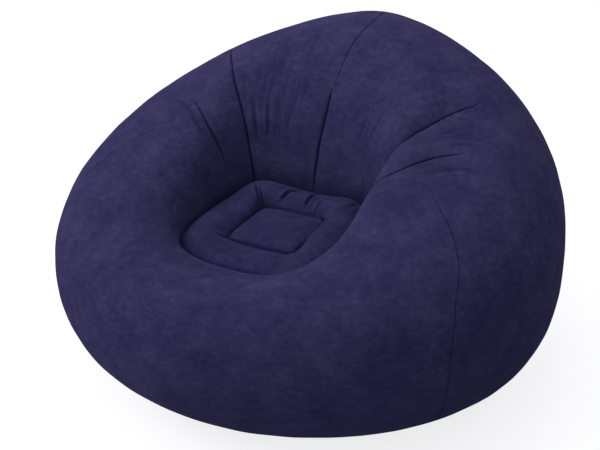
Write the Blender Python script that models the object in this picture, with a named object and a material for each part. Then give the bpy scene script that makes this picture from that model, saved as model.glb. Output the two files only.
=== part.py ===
"""Inflatable lounge chair: a flocked vinyl air chamber with a sunken seat, and its two-stage valve.

The chair stands on its base at z = 0 and faces -Y. A turn is measured round the chair from its
front, and a section runs from the base, 0, over the widest bulge, 1, and the crest, 2, down into
the well to the seat, 3.
"""

import math

import bmesh
import bpy
import numpy as np
from mathutils import Matrix, Vector

# The air chamber, in metres
WIDTH = 1.070
DEPTH = 1.040
BACK_HEIGHT = 0.674
ARM_HEIGHT = 0.484
FRONT_HEIGHT = 0.328
BULGE_HEIGHT_FRONT = 0.202
BULGE_HEIGHT_SIDE = 0.245
BULGE_HEIGHT_BACK = 0.271
CREST_UNEVENNESS = 0.004

# How far the base and the crest lie inside the widest outline
BASE_SIDE_INSET = 0.160
BASE_FRONT_INSET = 0.261
BASE_BACK_INSET = 0.069
CREST_SIDE_INSET = 0.248
CREST_FRONT_INSET = 0.079
CREST_BACK_INSET = 0.205
BASE_WIDTH = WIDTH - 2 * BASE_SIDE_INSET
BASE_DEPTH = DEPTH - BASE_FRONT_INSET - BASE_BACK_INSET
BASE_REARWARD = (BASE_FRONT_INSET - BASE_BACK_INSET) / 2
CREST_WIDTH = WIDTH - 2 * CREST_SIDE_INSET
CREST_DEPTH = DEPTH - CREST_FRONT_INSET - CREST_BACK_INSET
CREST_FORWARD = (CREST_BACK_INSET - CREST_FRONT_INSET) / 2

# The seat at the bottom of the well
SEAT_WIDTH = 0.352
SEAT_FORWARD = 0.127
SEAT_HEIGHT = 0.309
ROLL_RISE_FRONT = 0.010
ROLL_RISE_SIDE = 0.031
ROLL_RISE_BACK = 0.039
PAD_WIDTH = 0.155
PAD_DEPTH = 0.150
PAD_EDGE_HEIGHT = 0.320
PAD_REAR_RISE = 0.0064
PAD_CROWN = 0.012

# The welded sheet
SHEET = 0.0007
GAP = 0.0003
WELD_WIDTH = 0.010
TIE_FOOT_WIDTH = 0.320
TIE_FOOT_FORWARD = 0.060

# How far each seam draws the skin in where it is deepest, and how far its valley reaches
LONG_DART_DEPTH = 0.025
SHORT_DART_DEPTH = 0.006
BACK_SEAM_DEPTH = 0.009
PANEL_SEAM_DEPTH = 0.0012
LEFT_ARM_SHOULDER = 0.030
RIGHT_ARM_SHOULDER = 0.060
LONG_DART_SHOULDER = 0.024
SHORT_DART_SHOULDER = 0.022
BACK_SEAM_SHOULDER = 0.040
PANEL_SEAM_SHOULDER = 0.007

# The valve, whose parts are turned about its axis
VALVE_SINK = 0.002
FLANGE_RADIUS = 0.040
FLANGE_THICKNESS = 0.0010
COLLAR_WALL = 0.004
COLLAR_HEIGHT = 0.005
COLLAR_SKIRT = 0.008
COLLAR_BEAD = 0.0008
PLUG_RADIUS = 0.0177
PLUG_WALL = 0.002
PLUG_DEPTH = 0.007
PLUG_RIM_RADIUS = 0.025
PLUG_RIM_THICKNESS = 0.002
PLUG_RIM_BEVEL = 0.0006
PLUG_GRIP_LENGTH = 0.008
PLUG_GRIP_WIDTH = 0.014
PORT_RADIUS = 0.009
PORT_WALL = 0.002
PORT_DEPTH = 0.010
FLAP_MARGIN = 0.0012
FLAP_THICKNESS = 0.0008
FLAP_HINGE_OFFSET = 0.014
FLAP_HINGE_WIDTH = 0.008
LUG_HEIGHT = 0.004
LUG_LENGTH = 0.0015
CAP_RADIUS = 0.013
CAP_THICKNESS = 0.002
CAP_BEVEL = 0.0006
CAP_BOSS_LENGTH = 0.004
CAP_BOSS_TAPER = 0.0007
CAP_GRIP_LENGTH = 0.005
CAP_GRIP_WIDTH = 0.010
FILM_THICKNESS = 0.0006
FILM_WIDTH = 0.009
FILM_END_GAP = 0.0004
CAP_HINGE_OFFSET = 0.018
CAP_LUG_GAP = 0.0006
CAP_LUG_LENGTH = 0.0024
CAP_LUG_HEIGHT = 0.0012
STRAP_THICKNESS = 0.0010
STRAP_WIDTH = 0.008
STRAP_RING_WIDTH = 0.004
STRAP_REACH = 0.046
FUSE_DEPTH = 0.0005

# Roundness of the sections at the front, the side and the back, where 1 is an ellipse and less is
# fuller. Inside the well the left side, -1, differs from the right side, 1.
OUTER_FULLNESS = (0.92, 0.74, 0.96)
INNER_FULLNESS = {-1: (1.05, 0.95, 0.91), 1: (1.05, 0.68, 0.91)}
SEAT_SQUARENESS = 3
PAD_SQUARENESS = 9
ROLL_FULLNESS = (1, 0.42, 0.40)
ROLL_CORNER_SHARE = 0.5

# The share of its unevenness by which the crest lies off its even climb, by the turn in degrees
CREST_SHARES = ((0, 0), (60, 0), (100, 0.65), (130, 0), (152, -1), (166, -0.7), (175, 0.1), (180, 0.3))

# The turn of each seam in degrees at places along its section, on the left, -1, and the right, 1
PANEL_SEAMS = {
    -1: ((0, 56), (1, 56), (1.3, 58.8), (1.6, 67.2), (1.8, 75.8), (2, 87), (2.29, 91.8), (2.44, 94.3),
         (2.52, 96.2), (3, 100)),
    1: ((0, 56), (1, 56), (1.3, 58.8), (1.6, 67), (1.8, 74), (1.9, 78.5), (2, 85), (2.1, 86.2),
        (2.3, 85.5), (2.6, 89), (3, 99)),
}
SHORT_DARTS = {
    -1: ((0, 90), (1, 90), (1.6, 94), (1.9, 98.5), (2.05, 100), (2.15, 100.3), (2.27, 101), (2.36, 102),
         (2.44, 103.3), (2.52, 105.6), (2.6, 107.8), (2.67, 109.5), (2.72, 111), (2.8, 114.2), (3, 121)),
    1: ((0, 86), (1, 86), (1.6, 92), (1.85, 96.2), (1.93, 96.5), (1.98, 95), (2.03, 93.2), (2.08, 92.1),
        (2.13, 91.2), (2.18, 90.6), (2.3, 90), (2.6, 96), (3, 113)),
}
LONG_DARTS = {
    -1: ((0, 122), (1, 122), (1.9, 122), (1.955, 120.5), (2.05, 119.1), (2.18, 119), (2.34, 121),
         (2.45, 123.1), (2.55, 125.5), (2.63, 127.5), (2.69, 128.9), (2.77, 131), (2.83, 132.5),
         (3, 136)),
    1: ((0, 118), (1, 118), (1.9, 115.4), (1.95, 113.2), (2, 111), (2.15, 109.5), (2.4, 114), (2.7, 124),
        (3, 135)),
}
BACK_SEAM = ((0, 180), (1, 180), (1.5, 178.6), (1.9, 175.4), (2.12, 175.3), (2.23, 176.5), (2.33, 177.6),
             (2.5, 178.4), (2.58, 179.2), (2.67, 179.9), (2.76, 180.9), (2.85, 182), (3, 184))
GROOVE_TURN = 3.5

# The share of its full depth that each seam has at places along its section
LONG_DEPTH_SHARES = {
    -1: ((0, 0), (1.84, 0), (1.94, 0.06), (2.1, 0.16), (2.4, 0.26), (2.7, 0.32), (3, 0.2)),
    1: ((0, 0), (1.8, 0), (1.9, 0.04), (2, 0.36), (2.12, 0.8), (2.3, 1), (2.6, 0.68), (3, 0.28)),
}
SHORT_DEPTH_SHARES = ((0, 0), (1.86, 0), (1.95, 0.15), (2.05, 0.5), (2.2, 0.8), (2.5, 1), (3, 0.6))
BACK_DEPTH_SHARES = ((0, 0), (1.75, 0), (1.9, 0.08), (2.05, 0.25), (2.3, 0.4), (2.5, 0.4), (2.62, 0.8),
                     (2.8, 1), (3, 0.5))
PANEL_DEPTH_SHARES = ((0, 0), (0.2, 0.6), (0.6, 1), (2, 1), (2.5, 0.6), (3, 0.3))

# Where the sheets are divided
SECTION_SHARES = (
    (0, 0.28, 0.5, 0.68, 0.84),
    (0, 0.10, 0.24, 0.40, 0.56, 0.72, 0.86),
    (0, 0.13, 0.28, 0.44, 0.60, 0.76, 0.89, 1),
)
PAD_SHARES = (0.42, 0.78, 1)
ROLL_SHARES = (0.07, 0.28, 0.5, 0.72, 0.93, 1)
BAND_SHARES = (0.35, 0.65)
FRONT_STEPS = 22
ARM_STEPS = 3
SHOULDER_STEPS = 2
BACK_STEPS = 6
VALVE_STEPS = 4
ROUND_STEPS = 40

NAVY = (0.033, 0.031, 0.089)
WHITE_VINYL = (0.62, 0.63, 0.62)
SMOKE_PLASTIC = (0.10, 0.10, 0.13)
GREY_VINYL = (0.20, 0.20, 0.22)


def clear_scene():
    for thing in list(bpy.data.objects):
        bpy.data.objects.remove(thing)


def material(name, colour, roughness):
    made = bpy.data.materials.new(name)
    made.use_nodes = True
    shader = made.node_tree.nodes["Principled BSDF"]
    shader.inputs["Base Color"].default_value = (*colour, 1)
    shader.inputs["Roughness"].default_value = roughness
    shader.inputs["Metallic"].default_value = 0
    return made


def new_object(name, bm, colour, roughness, parent=None):
    """Puts the mesh into the scene as one named piece with its own material."""
    mesh = bpy.data.meshes.new(name)
    bmesh.ops.recalc_face_normals(bm, faces=bm.faces)
    bm.to_mesh(mesh)
    bm.free()
    mesh.shade_smooth()
    mesh.set_sharp_from_angle(angle=math.radians(40))
    mesh.materials.append(material(name, colour, roughness))
    piece = bpy.data.objects.new(name, mesh)
    bpy.context.scene.collection.objects.link(piece)
    piece.parent = parent
    return piece


def smooth_step(share):
    share = min(max(share, 0), 1)
    return share * share * (3 - 2 * share)


def round_about(front, side, back, turn):
    """A value that changes smoothly from the front by the side to the back."""
    forward = math.cos(turn)
    end = front if forward > 0 else back
    return side + (end - side) * forward * forward


def ring_point(width, depth, rearward, height, turn):
    return Vector(
        (width / 2 * math.sin(turn), rearward - depth / 2 * math.cos(turn), height)
    )


def square_point(width, depth, squareness, forward, height, turn):
    """A point of an outline with four round corners."""
    across, along = math.sin(turn), math.cos(turn)
    reach = (abs(across) ** squareness + abs(along) ** squareness) ** (-1 / squareness)
    x = width / 2 * reach * across
    return Vector((x, -forward - depth / 2 * reach * along, height))


def base_point(turn):
    return ring_point(BASE_WIDTH, BASE_DEPTH, BASE_REARWARD, SHEET + GAP, turn)


def bulge_point(turn):
    height = round_about(
        BULGE_HEIGHT_FRONT, BULGE_HEIGHT_SIDE, BULGE_HEIGHT_BACK, turn
    )
    return ring_point(WIDTH, DEPTH, 0, height, turn)


def crest_point(turn):
    """The crest climbs from the front over the arms to the back."""
    power = math.log(
        (ARM_HEIGHT - FRONT_HEIGHT) / (BACK_HEIGHT - FRONT_HEIGHT), 0.5
    )
    climb = ((1 - math.cos(turn)) / 2) ** power
    height = FRONT_HEIGHT + (BACK_HEIGHT - FRONT_HEIGHT) * climb
    degrees = abs(math.degrees(math.remainder(turn, 2 * math.pi)))
    height += CREST_UNEVENNESS * through(CREST_SHARES, degrees)
    return ring_point(CREST_WIDTH, CREST_DEPTH, -CREST_FORWARD, height, turn)


def seat_point(turn):
    return square_point(
        SEAT_WIDTH, SEAT_WIDTH, SEAT_SQUARENESS, SEAT_FORWARD, SEAT_HEIGHT, turn
    )


def pad_point(turn):
    """A point of the pad's weld, which rises a little from the front to the back."""
    place = square_point(
        PAD_WIDTH, PAD_DEPTH, PAD_SQUARENESS, SEAT_FORWARD, PAD_EDGE_HEIGHT, turn
    )
    place.z += PAD_REAR_RISE * (place.y + SEAT_FORWARD) / (PAD_DEPTH / 2)
    return place


def between(start, end, level, upright):
    """Goes a share of the way level and another share of the way upright."""
    return Vector(
        (
            start.x + (end.x - start.x) * level,
            start.y + (end.y - start.y) * level,
            start.z + (end.z - start.z) * upright,
        )
    )


def smooth_skin(turn, section):
    """The blown-up shape of the chamber, before its seams draw it in."""
    part = min(int(section), 2)
    angle = (section - part) * math.pi / 2
    rise, fall = math.sin(angle), max(math.cos(angle), 0)
    if part == 0:
        return between(base_point(turn), bulge_point(turn), rise, 1 - fall)
    if part == 1:
        power = round_about(*OUTER_FULLNESS, turn)
        return between(
            crest_point(turn), bulge_point(turn), fall**power, 1 - rise**power
        )
    power = round_about(*INNER_FULLNESS[-1 if math.sin(turn) < 0 else 1], turn)
    return between(seat_point(turn), crest_point(turn), 1 - rise**power, fall**power)


def skin_normal(turn, section):
    """The direction away from the air inside."""
    step = 0.002
    low, high = max(section - step, 0), min(section + step, 3)
    up = smooth_skin(turn, high) - smooth_skin(turn, low)
    along = smooth_skin(turn + step, section) - smooth_skin(turn - step, section)
    return along.cross(up).normalized()


def gentle_slopes(places, values):
    """Slopes for a curve that never overshoots its values."""
    widths = np.diff(places)
    rises = np.diff(values) / widths
    before, after = rises[:-1], rises[1:]
    first, second = 2 * widths[1:] + widths[:-1], widths[1:] + 2 * widths[:-1]
    same = before * after > 0
    inner = np.zeros(len(before))
    inner[same] = (first + second)[same] / (
        first[same] / before[same] + second[same] / after[same]
    )
    return np.concatenate([rises[:1], inner, rises[-1:]])


def through(pairs, place):
    """A smooth curve through pairs of a place and a value."""
    places, values = np.array(pairs, dtype=float).T
    slopes = gentle_slopes(places, values)
    start = min(max(int(np.searchsorted(places, place, side="right")) - 1, 0), len(places) - 2)
    width = places[start + 1] - places[start]
    share = min(max((place - places[start]) / width, 0), 1)
    rest = 1 - share
    return float(
        values[start] * (1 + 2 * share) * rest**2
        + values[start + 1] * (1 + 2 * rest) * share**2
        + slopes[start] * width * share * rest**2
        - slopes[start + 1] * width * rest * share**2
    )


def valley(away, ahead_width, behind_width):
    """A wide valley with a shoulder of its own width on each side."""
    width = ahead_width if away < 0 else behind_width
    return math.exp(-((abs(away) / width) ** 1.4))


def groove(turn, section):
    """How far the seams draw the skin in at a place."""
    turn = math.remainder(turn, 2 * math.pi)
    side = -1 if turn < 0 else 1
    step = 0.002
    arc = smooth_skin(turn + step, section) - smooth_skin(turn - step, section)
    metres_per_turn = arc.length / (2 * step)

    def away(seam_turn):
        turned = math.remainder(turn - side * math.radians(seam_turn), 2 * math.pi)
        return turned * side * metres_per_turn

    arm_shoulder = LEFT_ARM_SHOULDER if side < 0 else RIGHT_ARM_SHOULDER
    long = away(through(LONG_DARTS[side], section))
    short = away(through(SHORT_DARTS[side], section))
    panel = away(through(PANEL_SEAMS[side], section))
    back = away(side * through(BACK_SEAM, section))
    seams = (
        (LONG_DART_DEPTH, LONG_DEPTH_SHARES[side], long, arm_shoulder, LONG_DART_SHOULDER),
        (SHORT_DART_DEPTH, SHORT_DEPTH_SHARES, short, SHORT_DART_SHOULDER, SHORT_DART_SHOULDER),
        (BACK_SEAM_DEPTH, BACK_DEPTH_SHARES, back, BACK_SEAM_SHOULDER, BACK_SEAM_SHOULDER),
        (PANEL_SEAM_DEPTH, PANEL_DEPTH_SHARES, back, PANEL_SEAM_SHOULDER, PANEL_SEAM_SHOULDER),
        (PANEL_SEAM_DEPTH, PANEL_DEPTH_SHARES, panel, PANEL_SEAM_SHOULDER, PANEL_SEAM_SHOULDER),
    )
    depth = 0
    for most, depth_shares, distance, ahead, behind in seams:
        depth += most * through(depth_shares, section) * valley(distance, ahead, behind)
    return depth * (1 - smooth_step((section - 2.93) / 0.07))


def skin_point(turn, section):
    drawn_in = groove(turn, section)
    return smooth_skin(turn, section) - drawn_in * skin_normal(turn, section)


def spread(start, end, steps):
    """The turns after the start, up to the end, in equal steps."""
    return [start + (end - start) * i / steps for i in range(1, steps + 1)]


def front_turns(section):
    left, right = (math.radians(through(PANEL_SEAMS[side], section)) for side in (-1, 1))
    return [-left] + spread(-left, right, FRONT_STEPS)


def rear_turns(section, side):
    """The columns of a rear panel, from the panel seam over the two darts to the back seam."""
    flank = math.radians(GROOVE_TURN)
    back = math.pi + side * (math.radians(through(BACK_SEAM, section)) - math.pi)
    turns = [math.radians(through(PANEL_SEAMS[side], section))]
    for dart, steps in ((SHORT_DARTS, ARM_STEPS), (LONG_DARTS, SHOULDER_STEPS)):
        middle = math.radians(through(dart[side], section))
        ahead = min(flank, (middle - turns[-1]) / 2)
        turns += spread(turns[-1], middle - ahead, steps)
        turns += [middle, middle + flank]
    turns += spread(turns[-1], back - flank, BACK_STEPS)
    return [side * turn for turn in turns + [back]]


def right_turns(section):
    return rear_turns(section, 1)


def left_turns(section):
    return rear_turns(section, -1)


def section_list():
    return [part + share for part in range(3) for share in SECTION_SHARES[part]]


def panel_point(turns_at, section, column):
    """A point of a panel. Its first and last columns keep half a gap from the seam."""
    turns = turns_at(section)
    turn = turns[column]
    place = skin_point(turn, section)
    if 0 < column < len(turns) - 1:
        return place
    step = 0.01
    low, high = max(section - step, 0), min(section + step, 3)
    seam = skin_point(turns_at(high)[column], high) - skin_point(turns_at(low)[column], low)
    level = skin_normal(turn, section).cross(seam).normalized()
    inner = turns[1] if column == 0 else turns[-2]
    towards = skin_point(inner, section) - place
    return place + level * math.copysign(GAP / 2, level.dot(towards))


def panel_rows(turns_at):
    """The points of a panel from the weld on the base to the weld at the seat, fins included."""
    rows = []
    for section in section_list():
        ends = turns_at(section)
        row = [panel_point(turns_at, section, i) for i in range(len(ends))]
        first = skin_normal(ends[0], section) * WELD_WIDTH
        last = skin_normal(ends[-1], section) * WELD_WIDTH
        rows.append([row[0] - first] + row + [row[-1] - last])
    middle = Vector((0, BASE_REARWARD, 0))
    lap = []
    for place in rows[0]:
        level = Vector((place.x, place.y, 0)) - middle
        lap.append(place - level.normalized() * WELD_WIDTH)
    fin = [place - Vector((0, 0, WELD_WIDTH)) for place in rows[-1]]
    return [lap] + rows + [fin]


def grid_faces(bm, rows, skip=(), closed=False):
    """Triangles between rows of vertices. A skipped cell stays open.

    On an open grid the first column is cut the other way, so that the fins at both sides of a
    seam are cut alike and lie face to face.
    """
    count = len(rows[0])
    for i in range(len(rows) - 1):
        for j in range(count if closed else count - 1):
            if (i, j) in skip:
                continue
            k = (j + 1) % count
            a, b, c, d = rows[i][j], rows[i][k], rows[i + 1][k], rows[i + 1][j]
            if j == 0 and not closed:
                a, b, c, d = b, c, d, a
            bm.faces.new((a, b, c))
            bm.faces.new((a, c, d))


def thicken(piece):
    """Gives a sheet its thickness on the side of the air."""
    solidify = piece.modifiers.new("Sheet thickness", "SOLIDIFY")
    solidify.thickness = SHEET
    solidify.offset = -1
    solidify.use_even_offset = True
    solidify.use_quality_normals = True


def sheet_object(name, bm, colour, roughness, outward):
    """Turns all faces of an open sheet the way that the given face points, then thickens it."""
    bmesh.ops.recalc_face_normals(bm, faces=bm.faces)
    bm.normal_update()
    if outward(bm) < 0:
        bmesh.ops.reverse_faces(bm, faces=bm.faces)
    mesh = bpy.data.meshes.new(name)
    bm.to_mesh(mesh)
    bm.free()
    mesh.shade_smooth()
    mesh.materials.append(material(name, colour, roughness))
    piece = bpy.data.objects.new(name, mesh)
    bpy.context.scene.collection.objects.link(piece)
    thicken(piece)
    return piece


def valve_matrix():
    """The valve's own axes: X level along the wall, Y up and Z out of the chamber."""
    turn = left_turns(1)[valve_column()]
    outward = skin_normal(turn, 1)
    outward.z = 0
    outward.normalize()
    up = Vector((0, 0, 1))
    place = smooth_skin(turn, 1) - outward * VALVE_SINK
    axes = Matrix((up.cross(outward), up, outward)).transposed().to_4x4()
    axes.translation = place
    return axes


def valve_column():
    return len(left_turns(1)) - 2 - (BACK_STEPS - VALVE_STEPS)


def circle_points(radius, steps, height=0, frame=None):
    """Points round the axis of the frame, from its X towards its Y."""
    made = []
    for i in range(steps):
        angle = 2 * math.pi * i / steps
        place = Vector((radius * math.cos(angle), radius * math.sin(angle), height))
        made.append(frame @ place if frame else place)
    return made


def valve_hole(bm, rows, row, column):
    """Replaces the four cells round a vertex with a flat round weld land that has a hole."""
    frame = valve_matrix()
    around = [(0, 1), (1, 1), (1, 0), (1, -1), (0, -1), (-1, -1), (-1, 0), (-1, 1)]
    outer = [rows[row + i][column + j] for i, j in around]
    bm.verts.remove(rows[row][column])
    local = frame.inverted()

    def angle_of(vertex):
        place = local @ vertex.co
        return math.atan2(place.y, place.x) % (2 * math.pi)

    outer.sort(key=angle_of)
    steps = 3 * len(outer)
    land_radius = FLANGE_RADIUS + COLLAR_BEAD
    land = [bm.verts.new(p) for p in circle_points(land_radius, steps, 0, frame)]
    hole_radius = collar_radius() + COLLAR_BEAD + GAP
    hole = [bm.verts.new(p) for p in circle_points(hole_radius, steps, 0, frame)]
    grid_faces(bm, [hole, land], closed=True)
    stitch(bm, land, outer, angle_of)


def stitch(bm, inner, outer, angle_of):
    """Fills between two loops that go round the same way, with the outer one much coarser."""
    turn = 2 * math.pi
    offsets = [angle_of(v) for v in outer]
    nearest = []
    for vertex in inner:
        angle = angle_of(vertex)
        nearest.append(
            min(
                range(len(outer)),
                key=lambda k: abs(math.remainder(angle - offsets[k], turn)),
            )
        )
    for i, vertex in enumerate(inner):
        after = (i + 1) % len(inner)
        here, there = nearest[i], nearest[after]
        if here != there:
            bm.faces.new((vertex, outer[here], outer[there]))
        bm.faces.new((vertex, outer[there], inner[after]))


def faces_out(turns_at):
    """Tells a panel's right side by the face nearest to the middle of its bulge."""
    turns = turns_at(1)
    turn = turns[len(turns) // 2]
    place, normal = skin_point(turn, 1), skin_normal(turn, 1)

    def outward(bm):
        face = min(bm.faces, key=lambda f: (f.calc_center_median() - place).length)
        return face.normal.dot(normal)

    return outward


def make_panel(name, turns_at, with_valve=False):
    bm = bmesh.new()
    rows = [[bm.verts.new(p) for p in row] for row in panel_rows(turns_at)]
    row = 1 + len(SECTION_SHARES[0])
    column = 1 + valve_column()
    skip = ()
    if with_valve:
        skip = [(row + i, column + j) for i in (-1, 0) for j in (-1, 0)]
    grid_faces(bm, rows, skip)
    if with_valve:
        valve_hole(bm, rows, row, column)
    return sheet_object(name, bm, NAVY, 0.9, faces_out(turns_at))


def rim_turns():
    """The turns of the panels' columns at the seat, all the way round from the front."""
    front = front_turns(3)
    half = len(front) // 2
    left = [2 * math.pi + turn for turn in reversed(left_turns(3)[:-1])]
    return front[half:-1] + right_turns(3) + left + [
        2 * math.pi + turn for turn in front[1:half]
    ]


def inset(place, distance, forward):
    """Moves a point of an outline level towards the outline's middle."""
    middle = Vector((0, -forward, place.z))
    return place + (middle - place).normalized() * distance


def roll_bow(share, turn):
    """How far the roll bows up between the pad's weld, 0, and the crease at the wall, 1."""
    if share >= 1:
        return 0
    rise = round_about(ROLL_RISE_FRONT, ROLL_RISE_SIDE, ROLL_RISE_BACK, turn)
    if math.cos(turn) < 0:
        rise *= 1 + ROLL_CORNER_SHARE * math.sin(2 * turn) ** 4
    return rise * math.sin(math.pi * share) ** round_about(*ROLL_FULLNESS, turn)


def pad_bow(share):
    """How far the pad bows up between its middle, 0, and its weld, 1."""
    return PAD_CROWN * (1 - share**4) ** 0.6


def seat_ring(share):
    """A ring of the seat, from the middle of the pad, 0, over its weld, 1, to the crease, 2."""
    ring = []
    for turn in rim_turns():
        pad = pad_point(turn)
        rim = inset(seat_point(turn), GAP, SEAT_FORWARD)
        if share <= 1:
            place = Vector((0, -SEAT_FORWARD, PAD_EDGE_HEIGHT)).lerp(pad, share)
            place.z += pad_bow(share)
        else:
            place = pad.lerp(rim, share - 1)
            place.z += roll_bow(share - 1, turn)
        ring.append(place)
    return ring


def faces_up(bm):
    """Tells a lying sheet's right side by its highest face."""
    return max(bm.faces, key=lambda f: f.calc_center_median().z).normal.z


def make_seat_sheet():
    """One sheet: the crowned pad, the weld round it, the roll and the fin at the wall."""
    bm = bmesh.new()
    rings = [seat_ring(share) for share in PAD_SHARES]
    rings += [seat_ring(1 + share) for share in ROLL_SHARES]
    rings.append([p - Vector((0, 0, WELD_WIDTH)) for p in rings[-1]])
    rows = [[bm.verts.new(p) for p in ring] for ring in rings]
    grid_faces(bm, rows, closed=True)
    middle = bm.verts.new((0, -SEAT_FORWARD, PAD_EDGE_HEIGHT + pad_bow(0)))
    for i, vertex in enumerate(rows[0]):
        bm.faces.new((middle, rows[0][i - 1], vertex))
    return sheet_object("seat_sheet", bm, NAVY, 0.9, faces_up)


def make_base_sheet():
    """The flat sheet that the chair stands on."""
    bm = bmesh.new()
    rim = [base_point(turn) for turn in rim_turns()]
    for place in rim:
        place.z = SHEET
    bm.faces.new([bm.verts.new(p) for p in rim])
    return sheet_object("base_sheet", bm, NAVY, 0.75, faces_up)


def make_tie_band(name, top_outline, foot_outline):
    """A standing membrane between the seat and the base, with vents and a foot on the base."""
    below_weld = [p - Vector((0, 0, 2 * WELD_WIDTH)) for p in top_outline]
    rings = [[inset(p, WELD_WIDTH, TIE_FOOT_FORWARD) for p in foot_outline]]
    for share in (0, *BAND_SHARES, 1):
        rings.append([a.lerp(b, share) for a, b in zip(foot_outline, below_weld)])
    rings.append(top_outline)
    bm = bmesh.new()
    rows = [[bm.verts.new(p) for p in ring] for ring in rings]
    vents = [(2, j) for j in range(len(top_outline)) if j % 3 == 1]
    grid_faces(bm, rows, vents, closed=True)

    def outward(bm):
        face = min(bm.faces, key=lambda f: f.calc_center_median().y)
        return -face.normal.y

    return sheet_object(name, bm, GREY_VINYL, 0.5, outward)


def make_tie_bands():
    """The bands start under the welds of the seat and stand on the base."""
    foot = SHEET + GAP + SHEET
    turns = rim_turns()
    rim = [inset(seat_point(turn), 4 * GAP + SHEET, SEAT_FORWARD) for turn in turns]
    for place in rim:
        place.z -= SHEET
    pad = [pad_point(turn) for turn in turns]
    for place in pad:
        place.z -= SHEET + GAP
    feet = [
        square_point(
            TIE_FOOT_WIDTH, TIE_FOOT_WIDTH, SEAT_SQUARENESS, TIE_FOOT_FORWARD, foot, turn
        )
        for turn in turns
    ]
    make_tie_band("seat_tie_band", rim, feet)
    feet = [
        square_point(PAD_WIDTH, PAD_DEPTH, PAD_SQUARENESS, TIE_FOOT_FORWARD, foot, turn)
        for turn in turns
    ]
    make_tie_band("pad_tie_band", pad, feet)


def turned(bm, profile, steps=ROUND_STEPS):
    """Turns a closed profile of radius and height about Z. A point on the axis is one vertex."""
    columns = []
    for i in range(steps):
        angle = 2 * math.pi * i / steps
        column = []
        for j, (radius, height) in enumerate(profile):
            if radius == 0 and columns:
                column.append(columns[0][j])
                continue
            column.append(
                bm.verts.new(
                    (radius * math.cos(angle), radius * math.sin(angle), height)
                )
            )
        columns.append(column)
    for i, column in enumerate(columns):
        other = columns[(i + 1) % steps]
        for j in range(len(profile)):
            k = (j + 1) % len(profile)
            corners = [column[j], other[j], other[k], column[k]]
            corners = list(dict.fromkeys(corners))
            if len(corners) > 2:
                bm.faces.new(corners)


def block(bm, low, high):
    """A box between two corners."""
    size = [b - a for a, b in zip(low, high)]
    middle = [(a + b) / 2 for a, b in zip(low, high)]
    matrix = Matrix.Translation(middle) @ Matrix.Diagonal((*size, 1))
    bmesh.ops.create_cube(bm, size=1, matrix=matrix)


def fuse(piece, others):
    """Joins helper shapes to a piece with a Boolean, and keeps them out of the model."""
    for other in others:
        other.hide_render = True
        other.display_type = "WIRE"
        union = piece.modifiers.new("Fused " + other.name, "BOOLEAN")
        union.operation = "UNION"
        union.solver = "EXACT"
        union.object = other


def helper_block(name, low, high, parent):
    bm = bmesh.new()
    block(bm, low, high)
    return new_object(name, bm, WHITE_VINYL, 0.5, parent)


def collar_radius():
    return PLUG_RADIUS + GAP + COLLAR_WALL


def rim_base():
    """The height of the plug's rim over the wall, which rests on the collar."""
    return COLLAR_HEIGHT + GAP


def rim_top():
    return rim_base() + PLUG_RIM_THICKNESS


def make_valve_flange(valve):
    """The disc that is welded behind the wall, with the collar that holds the plug."""
    bore = PLUG_RADIUS + GAP
    outer = collar_radius()
    top = -SHEET - GAP
    bottom = top - FLANGE_THICKNESS
    profile = (
        (bore, -COLLAR_SKIRT),
        (outer, -COLLAR_SKIRT),
        (outer, bottom),
        (FLANGE_RADIUS, bottom),
        (FLANGE_RADIUS, top),
        (outer, top),
        (outer, COLLAR_HEIGHT - 2 * COLLAR_BEAD),
        (outer + COLLAR_BEAD, COLLAR_HEIGHT - COLLAR_BEAD),
        (outer, COLLAR_HEIGHT),
        (bore, COLLAR_HEIGHT),
    )
    bm = bmesh.new()
    turned(bm, profile)
    return new_object("valve_flange", bm, WHITE_VINYL, 0.35, valve)


def make_valve_plug(valve):
    """The large plug for letting the air out, with the inflation port through its middle."""
    port_outer = PORT_RADIUS + PORT_WALL
    inner = PLUG_RADIUS - PLUG_WALL
    profile = (
        (PORT_RADIUS, -PORT_DEPTH),
        (port_outer, -PORT_DEPTH),
        (port_outer, rim_base()),
        (inner, rim_base()),
        (inner, -PLUG_DEPTH),
        (PLUG_RADIUS, -PLUG_DEPTH),
        (PLUG_RADIUS, rim_base()),
        (PLUG_RIM_RADIUS, rim_base()),
        (PLUG_RIM_RADIUS, rim_top() - PLUG_RIM_BEVEL),
        (PLUG_RIM_RADIUS - PLUG_RIM_BEVEL, rim_top()),
        (PORT_RADIUS, rim_top()),
    )
    bm = bmesh.new()
    turned(bm, profile)
    plug = new_object("valve_plug", bm, WHITE_VINYL, 0.3, valve)
    grip_reach = PLUG_RIM_RADIUS + PLUG_GRIP_LENGTH
    grip = helper_block(
        "plug_grip_shape",
        (PLUG_RIM_RADIUS - PLUG_GRIP_LENGTH, -PLUG_GRIP_WIDTH / 2, rim_base()),
        (grip_reach, PLUG_GRIP_WIDTH / 2, rim_top() - PLUG_RIM_BEVEL),
        valve,
    )
    flap_lug = helper_block(
        "flap_lug_shape",
        (-FLAP_HINGE_WIDTH / 2, port_outer - FUSE_DEPTH, -PORT_DEPTH),
        (
            FLAP_HINGE_WIDTH / 2,
            FLAP_HINGE_OFFSET + LUG_LENGTH,
            -PORT_DEPTH + LUG_HEIGHT,
        ),
        valve,
    )
    lug_start = CAP_HINGE_OFFSET + CAP_LUG_GAP
    cap_lug = helper_block(
        "cap_lug_shape",
        (-FILM_WIDTH / 2, lug_start, rim_top() - FUSE_DEPTH),
        (FILM_WIDTH / 2, lug_start + CAP_LUG_LENGTH, rim_top() + CAP_LUG_HEIGHT),
        valve,
    )
    fuse(plug, [grip, flap_lug, cap_lug])
    return plug


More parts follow.
